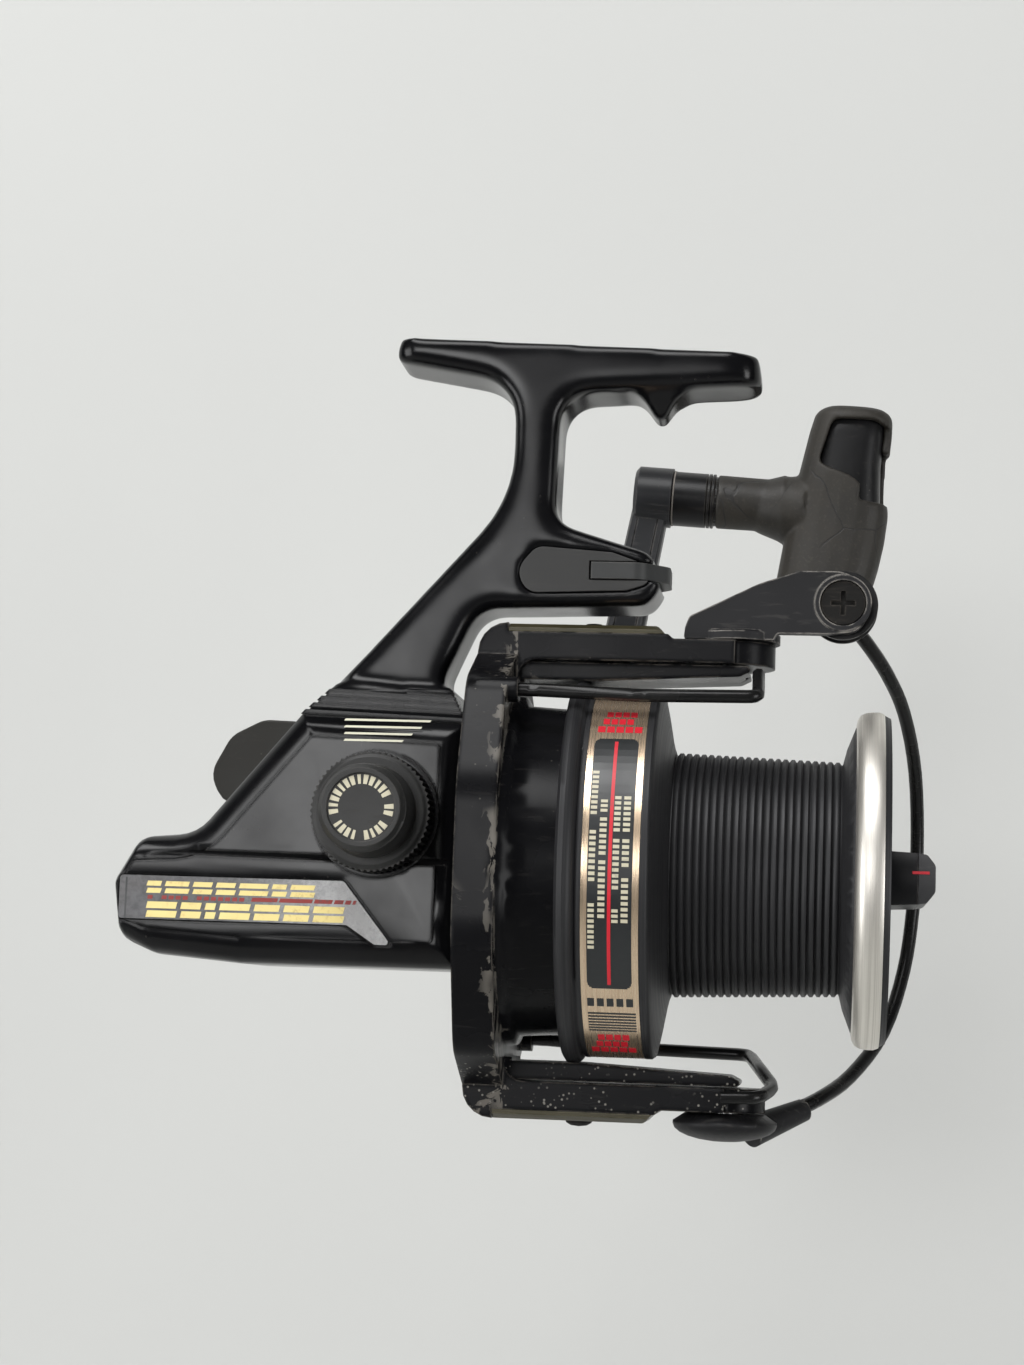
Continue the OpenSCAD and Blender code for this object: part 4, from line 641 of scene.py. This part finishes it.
def buildLabel():
    spec = labelSpec
    low, high = spec["radius"] + spec["onFoil"], spec["radius"] + spec["onWindow"]
    wrappedCells("labelWindow", roundedWindow(*spec["window"]), low, "inkBlack")
    x0, x1, upper, lower = spec["line"]
    wrappedCells("labelLine", [(bandX(x0), bandX(x1), upper, lower)], high, "inkRed")
    dashes = [cell for x0, x1, groups in letterColumns for upper, lower in groups
              for cell in letterCells(x0, x1, upper, lower)]
    wrappedCells("labelDashes", dashes, high, "inkCream")
    blocks = [cell for row in redRows for cell in blockRow(*row)]
    wrappedCells("labelBlocks", blocks, low, "inkRed")
    stripes = []
    x0, x1 = (bandX(part) for part in spec["stripes"])
    for i in range(spec["stripeCount"]):
        upper = spec["stripeFrom"] - spec["stripePitch"] * i
        stripes.append((x0, x1, upper, upper - spec["stripeWidth"]))
    for i in range(spec["blockCount"]):
        left = spec["blockFrom"] + spec["blockPitch"] * i
        stripes.append((bandX(left), bandX(left + spec["blockWidth"]), *spec["blockAngles"]))
    wrappedCells("labelStripes", stripes, low, "inkBlack")


buildLabel()
print("label printed")

plateSpec = dict(  # a row is its left, right, top and bottom
    face=-17.6, upperRow=(-81.1, -47.3, -111.9, -114.3), lowerRow=(-81.0, -41.3, -116.0, -119.1),
    upperWidths=(3, 5, 4, 4, 6, 3, 5), lowerWidths=(6, 4, 2, 6, 5, 5, 6), space=0.9, slant=0.3, split=0.22,
    smallRow=(-80.8, -60.8, -114.75, -115.5), smallCount=14, smallSkip=(1, 6), smallFill=0.7, smallSlant=0.12,
    dashRow=(-59.7, -114.65, -115.45), dashSlant=0.15, groove=(-85.35, -85.0, -111.3, -119.4),
    grooveThick=0.03)
plateDashes = [(0.0, 5.2), (5.6, 12.2), (12.6, 16.2), (16.6, 18.4), (18.8, 19.9), (20.3, 20.9)]


def flatCells(name, outlines, depth, finish, node, thick=0.05):
    # thin plates standing off a face that looks to the near side; outlines are in X and Z
    bm = bmesh.new()
    for outline in outlines:
        face = bm.faces.new([bm.verts.new((x * mm, depth * mm, z * mm)) for x, z in outline])
        raised = bmesh.ops.extrude_face_region(bm, geom=[face])["geom"]
        bmesh.ops.translate(bm, verts=[g for g in raised if isinstance(g, bmesh.types.BMVert)],
                            vec=(0, -thick * mm, 0))
    pieceFromBmesh(name, bm, node, finish)


def slantedBar(left, right, top, low, slant):
    return [(left + slant, top), (right + slant, top), (right, low), (left, low)]


def smallBlocks():
    left, right, top, low = plateSpec["smallRow"]
    step = (right - left) / plateSpec["smallCount"]
    return [slantedBar(left + i * step, left + (i + plateSpec["smallFill"]) * step, top, low,
                       plateSpec["smallSlant"] * (top - low))
            for i in range(plateSpec["smallCount"]) if i not in plateSpec["smallSkip"]]


def splitBars(row, widths):
    # bars of several widths, each one parted along its middle
    left, right, top, low = row
    unit = (right - left) / (sum(widths) + plateSpec["space"] * (len(widths) - 1))
    middle = (top + low) / 2
    bars = []
    for width in widths:
        for high, deep in ((top, middle + plateSpec["split"]), (middle - plateSpec["split"], low)):
            bars.append(slantedBar(left, left + width * unit, high, deep, plateSpec["slant"]))
        left += (width + plateSpec["space"]) * unit
    return bars


def buildPlatePrints():
    spec = plateSpec
    gold = splitBars(spec["upperRow"], spec["upperWidths"]) + splitBars(spec["lowerRow"], spec["lowerWidths"])
    flatCells("plateBars", gold, spec["face"], "inkGold", "side_plate")
    start, top, low = spec["dashRow"]
    slant = spec["dashSlant"]
    dashes = [slantedBar(start + a - slant, start + b - slant, top, low, 2 * slant) for a, b in plateDashes]
    flatCells("plateDashes", smallBlocks() + dashes, spec["face"], "inkRedDull", "side_plate")
    groove = [slantedBar(*spec["groove"], 0)]
    flatCells("plateGroove", groove, spec["face"], "inkBlack", "side_plate", spec["grooveThick"])


buildPlatePrints()
print("side plate printed")

markSpec = dict(
    face=-17.5, left=-42.4, top=-78.6, pitch=1.35, line=0.42, slant=0.3, lengths=(17.2, 15.4, 13.6, 11.8))


def buildCaseMark():
    stripes, left, slant = [], markSpec["left"], markSpec["slant"]
    for i, length in enumerate(markSpec["lengths"]):
        top = markSpec["top"] - i * markSpec["pitch"]
        stripes.append(slantedBar(left - slant, left + length - slant, top, top - markSpec["line"], slant))
    flatCells("caseMark", stripes, markSpec["face"], "inkPale", "housing", inkHeight)


buildCaseMark()

capSpec = dict(
    face=-35.4, inner=4.5, outer=6.3, count=27, pitch=13.3, first=96.0, wide=4.6, narrow=3.2, narrowEach=3,
    skip=(6, 9, 14, 19))


def buildCapTicks():
    outlines = []
    inner, outer = capSpec["inner"], capSpec["outer"]
    for i in range(capSpec["count"]):
        if i in capSpec["skip"]:
            continue
        middle = capSpec["first"] - i * capSpec["pitch"]
        span = capSpec["wide"] if i % capSpec["narrowEach"] else capSpec["narrow"]
        points = ((inner, -span), (outer, -span), (outer, 0), (outer, span), (inner, span))
        turned = [(radius, math.radians(middle + offset)) for radius, offset in points]
        outlines.append([(driveX + r * math.cos(angle), driveZ + r * math.sin(angle)) for r, angle in turned])
    flatCells("capTicks", outlines, capSpec["face"], "inkCream", "retrieve_cap", inkHeight)


buildCapTicks()
print("case mark and cap ticks made")

hubSpec = dict(
    place=(11.49, 75.0, -15.2), tilt=3.6, scuff=(4.45, 4.8, 5.82, 6.42), seal=(13.9, 15.4, 4.5, 5.7),
    steps=48, weld=0.001, sharp=40)


def hubRing(name, ring, finish):
    # a ring round the knob's spindle: its ends along it, and its inner and outer radius
    x0, x1, inner, outer = ring
    bm = bmesh.new()
    corners = ((x0, inner), (x1, inner), (x1, outer), (x0, outer))
    face = bm.faces.new([bm.verts.new((x * mm, 0, r * mm)) for x, r in corners])
    bmesh.ops.spin(bm, geom=[face, *face.edges, *face.verts], cent=(0, 0, 0), axis=(1, 0, 0),
                   angle=math.tau, steps=hubSpec["steps"], use_merge=True, use_duplicate=False)
    bmesh.ops.remove_doubles(bm, verts=bm.verts, dist=hubSpec["weld"] * mm)
    turn = Matrix.Rotation(math.radians(hubSpec["tilt"]), 4, "Y")
    place = Matrix.Translation(Vector(hubSpec["place"]) * mm) @ turn
    bmesh.ops.transform(bm, matrix=place, verts=bm.verts)
    pieceFromBmesh(name, bm, "knob_collar", finish, hubSpec["sharp"])


hubRing("collarScuff", hubSpec["scuff"], "wornLine")
hubRing("collarSeal", hubSpec["seal"], "blackKnob")

tickSpec = dict(left=69.6, right=72.9, top=-105.4, width=0.55, face=-12.66)


def buildDragTick():
    top = tickSpec["top"]
    outline = slantedBar(tickSpec["left"], tickSpec["right"], top, top - tickSpec["width"], 0)
    flatCells("dragTick", [outline], tickSpec["face"], "inkRed", "drag_knob_tip", inkHeight)


buildDragTick()
print("collar rings and drag tick made")

stageSpec = dict(  # metres
    floorZ=-0.9, back=0.25, reach=3.0, height=2.6, curve=0.25, curveSteps=16, colour=(0.575, 0.58, 0.565),
    darker=0.97, rough=0.9)


def buildStage():
    bm = bmesh.new()
    half = stageSpec["reach"]
    floor = bmesh.ops.create_grid(bm, x_segments=1, y_segments=1, size=half)
    bmesh.ops.translate(bm, verts=floor["verts"], vec=(0, stageSpec["back"] - half, stageSpec["floorZ"]))
    rear = [e for e in bm.edges if all(v.co.y > stageSpec["back"] - 0.01 for v in e.verts)]
    raised = bmesh.ops.extrude_edge_only(bm, edges=rear)["geom"]
    bmesh.ops.translate(bm, verts=[g for g in raised if isinstance(g, bmesh.types.BMVert)],
                        vec=(0, 0, stageSpec["height"]))
    bmesh.ops.bevel(bm, geom=rear, offset=stageSpec["curve"], segments=stageSpec["curveSteps"], profile=0.5,
                    affect="EDGES", material=-1)
    mesh = bpy.data.meshes.new("floorSheet")
    bm.to_mesh(mesh)
    bm.free()
    mesh.shade_smooth()
    sheet = bpy.data.objects.new("floorSheet", mesh)
    bpy.context.scene.collection.objects.link(sheet)
    mat, tree, shader, place = startMaterial("paperSheet")
    grain = noise(tree, place, 3.0, 3)
    colour = blendColour(tree, ramp(tree, grain, 0.3, 0.7), stageSpec["colour"],
                         tuple(c * stageSpec["darker"] for c in stageSpec["colour"]))
    tree.links.new(colour, shader.inputs["Base Color"])
    shader.inputs["Roughness"].default_value = stageSpec["rough"]
    # the sheet is clear when it is looked at from behind, so that it never hides the reel
    behind = maths(tree, "MULTIPLY", addNode(tree, "ShaderNodeNewGeometry").outputs["Backfacing"],
                   addNode(tree, "ShaderNodeLightPath").outputs["Is Camera Ray"])
    mix = addNode(tree, "ShaderNodeMixShader", {0: behind, 1: shader.outputs[0]})
    tree.links.new(addNode(tree, "ShaderNodeBsdfTransparent").outputs[0], mix.inputs[2])
    tree.links.new(mix.outputs[0], tree.nodes["Material Output"].inputs["Surface"])
    mesh.materials.append(mat)


roomSpec = dict(  # brightness, then where each side of the window fades in, along a direction's X, Z or Y
    far=0.05, near=0.13, window=8.5, left=(-0.46, -0.36), right=(-0.05, -0.12), bottom=(-0.05, 0.03),
    top=(0.23, 0.16), front=(-0.6, -0.8), nearSide=(0.1, -0.9))


def buildWorld():
    # a dim room with one pale ceiling window behind the viewer, soft at its edges
    world = bpy.data.worlds.new("room")
    bpy.context.scene.world = world
    world.use_nodes = True
    tree = world.node_tree
    background = tree.nodes["Background"]
    direction = addNode(tree, "ShaderNodeTexCoord").outputs["Generated"]
    x, y, z = addNode(tree, "ShaderNodeSeparateXYZ", {"Vector": direction}).outputs
    sides = ((x, "left"), (x, "right"), (z, "bottom"), (z, "top"), (y, "front"))
    window = product(tree, *(ramp(tree, value, *roomSpec[side]) for value, side in sides))
    nearSide = ramp(tree, y, *roomSpec["nearSide"], roomSpec["far"], roomSpec["near"])
    strength = maths(tree, "ADD", nearSide, maths(tree, "MULTIPLY", window, roomSpec["window"]))
    grey = addNode(tree, "ShaderNodeCombineXYZ", {"X": strength, "Y": strength, "Z": strength})
    tree.links.new(grey.outputs[0], background.inputs["Color"])
    background.inputs["Strength"].default_value = 1.0


lampAim = (0, 0, -0.1)
lampSpecs = {  # place and size in metres, power in watts
    "skyPanel": ((-0.3, -0.7, 0.95), (0.9, 0.6), 14.0),
    "sidePanel": ((-1.15, -0.75, -0.2), (0.6, 0.9), 9.0),
    "farPanel": ((1.15, -0.75, -0.2), (0.5, 0.8), 7.0),
    "lowPanel": ((0.1, -0.75, -1.1), (0.9, 0.4), 2.0),
}


def areaLamp(name, place, size, power):
    lamp = bpy.data.lights.new(name, "AREA")
    lamp.shape = "RECTANGLE"
    lamp.size, lamp.size_y = size
    lamp.energy = power
    holder = bpy.data.objects.new(name, lamp)
    holder.location = place
    holder.rotation_mode = "QUATERNION"
    holder.rotation_quaternion = (Vector(lampAim) - Vector(place)).to_track_quat("-Z", "Y")
    bpy.context.scene.collection.objects.link(holder)


cameraSpec = dict(
    lens=71.08, sensor=36.0, clip=(0.01, 20), place=(0.0525, -0.5423, -0.135), right=(0.9932, 0.113, 0.0351),
    up=(-0.021, -0.124, 0.9924), ahead=(-0.1164, 0.986, 0.1208))


def buildCamera():
    data = bpy.data.cameras.new("viewCamera")
    data.lens = cameraSpec["lens"]
    data.sensor_width = cameraSpec["sensor"]
    data.clip_start, data.clip_end = cameraSpec["clip"]
    camera = bpy.data.objects.new("viewCamera", data)
    right, up, ahead = (Vector(cameraSpec[key]) for key in ("right", "up", "ahead"))
    turn = Matrix((right, up, -ahead)).transposed().to_4x4()
    camera.matrix_world = Matrix.Translation(cameraSpec["place"]) @ turn
    bpy.context.scene.collection.objects.link(camera)
    bpy.context.scene.camera = camera


buildStage()
buildWorld()
for name, (place, size, power) in lampSpecs.items():
    areaLamp(name, place, size, power)
buildCamera()
view = bpy.context.scene.view_settings
view.view_transform = "Standard"
print("stage, lamps and camera set")
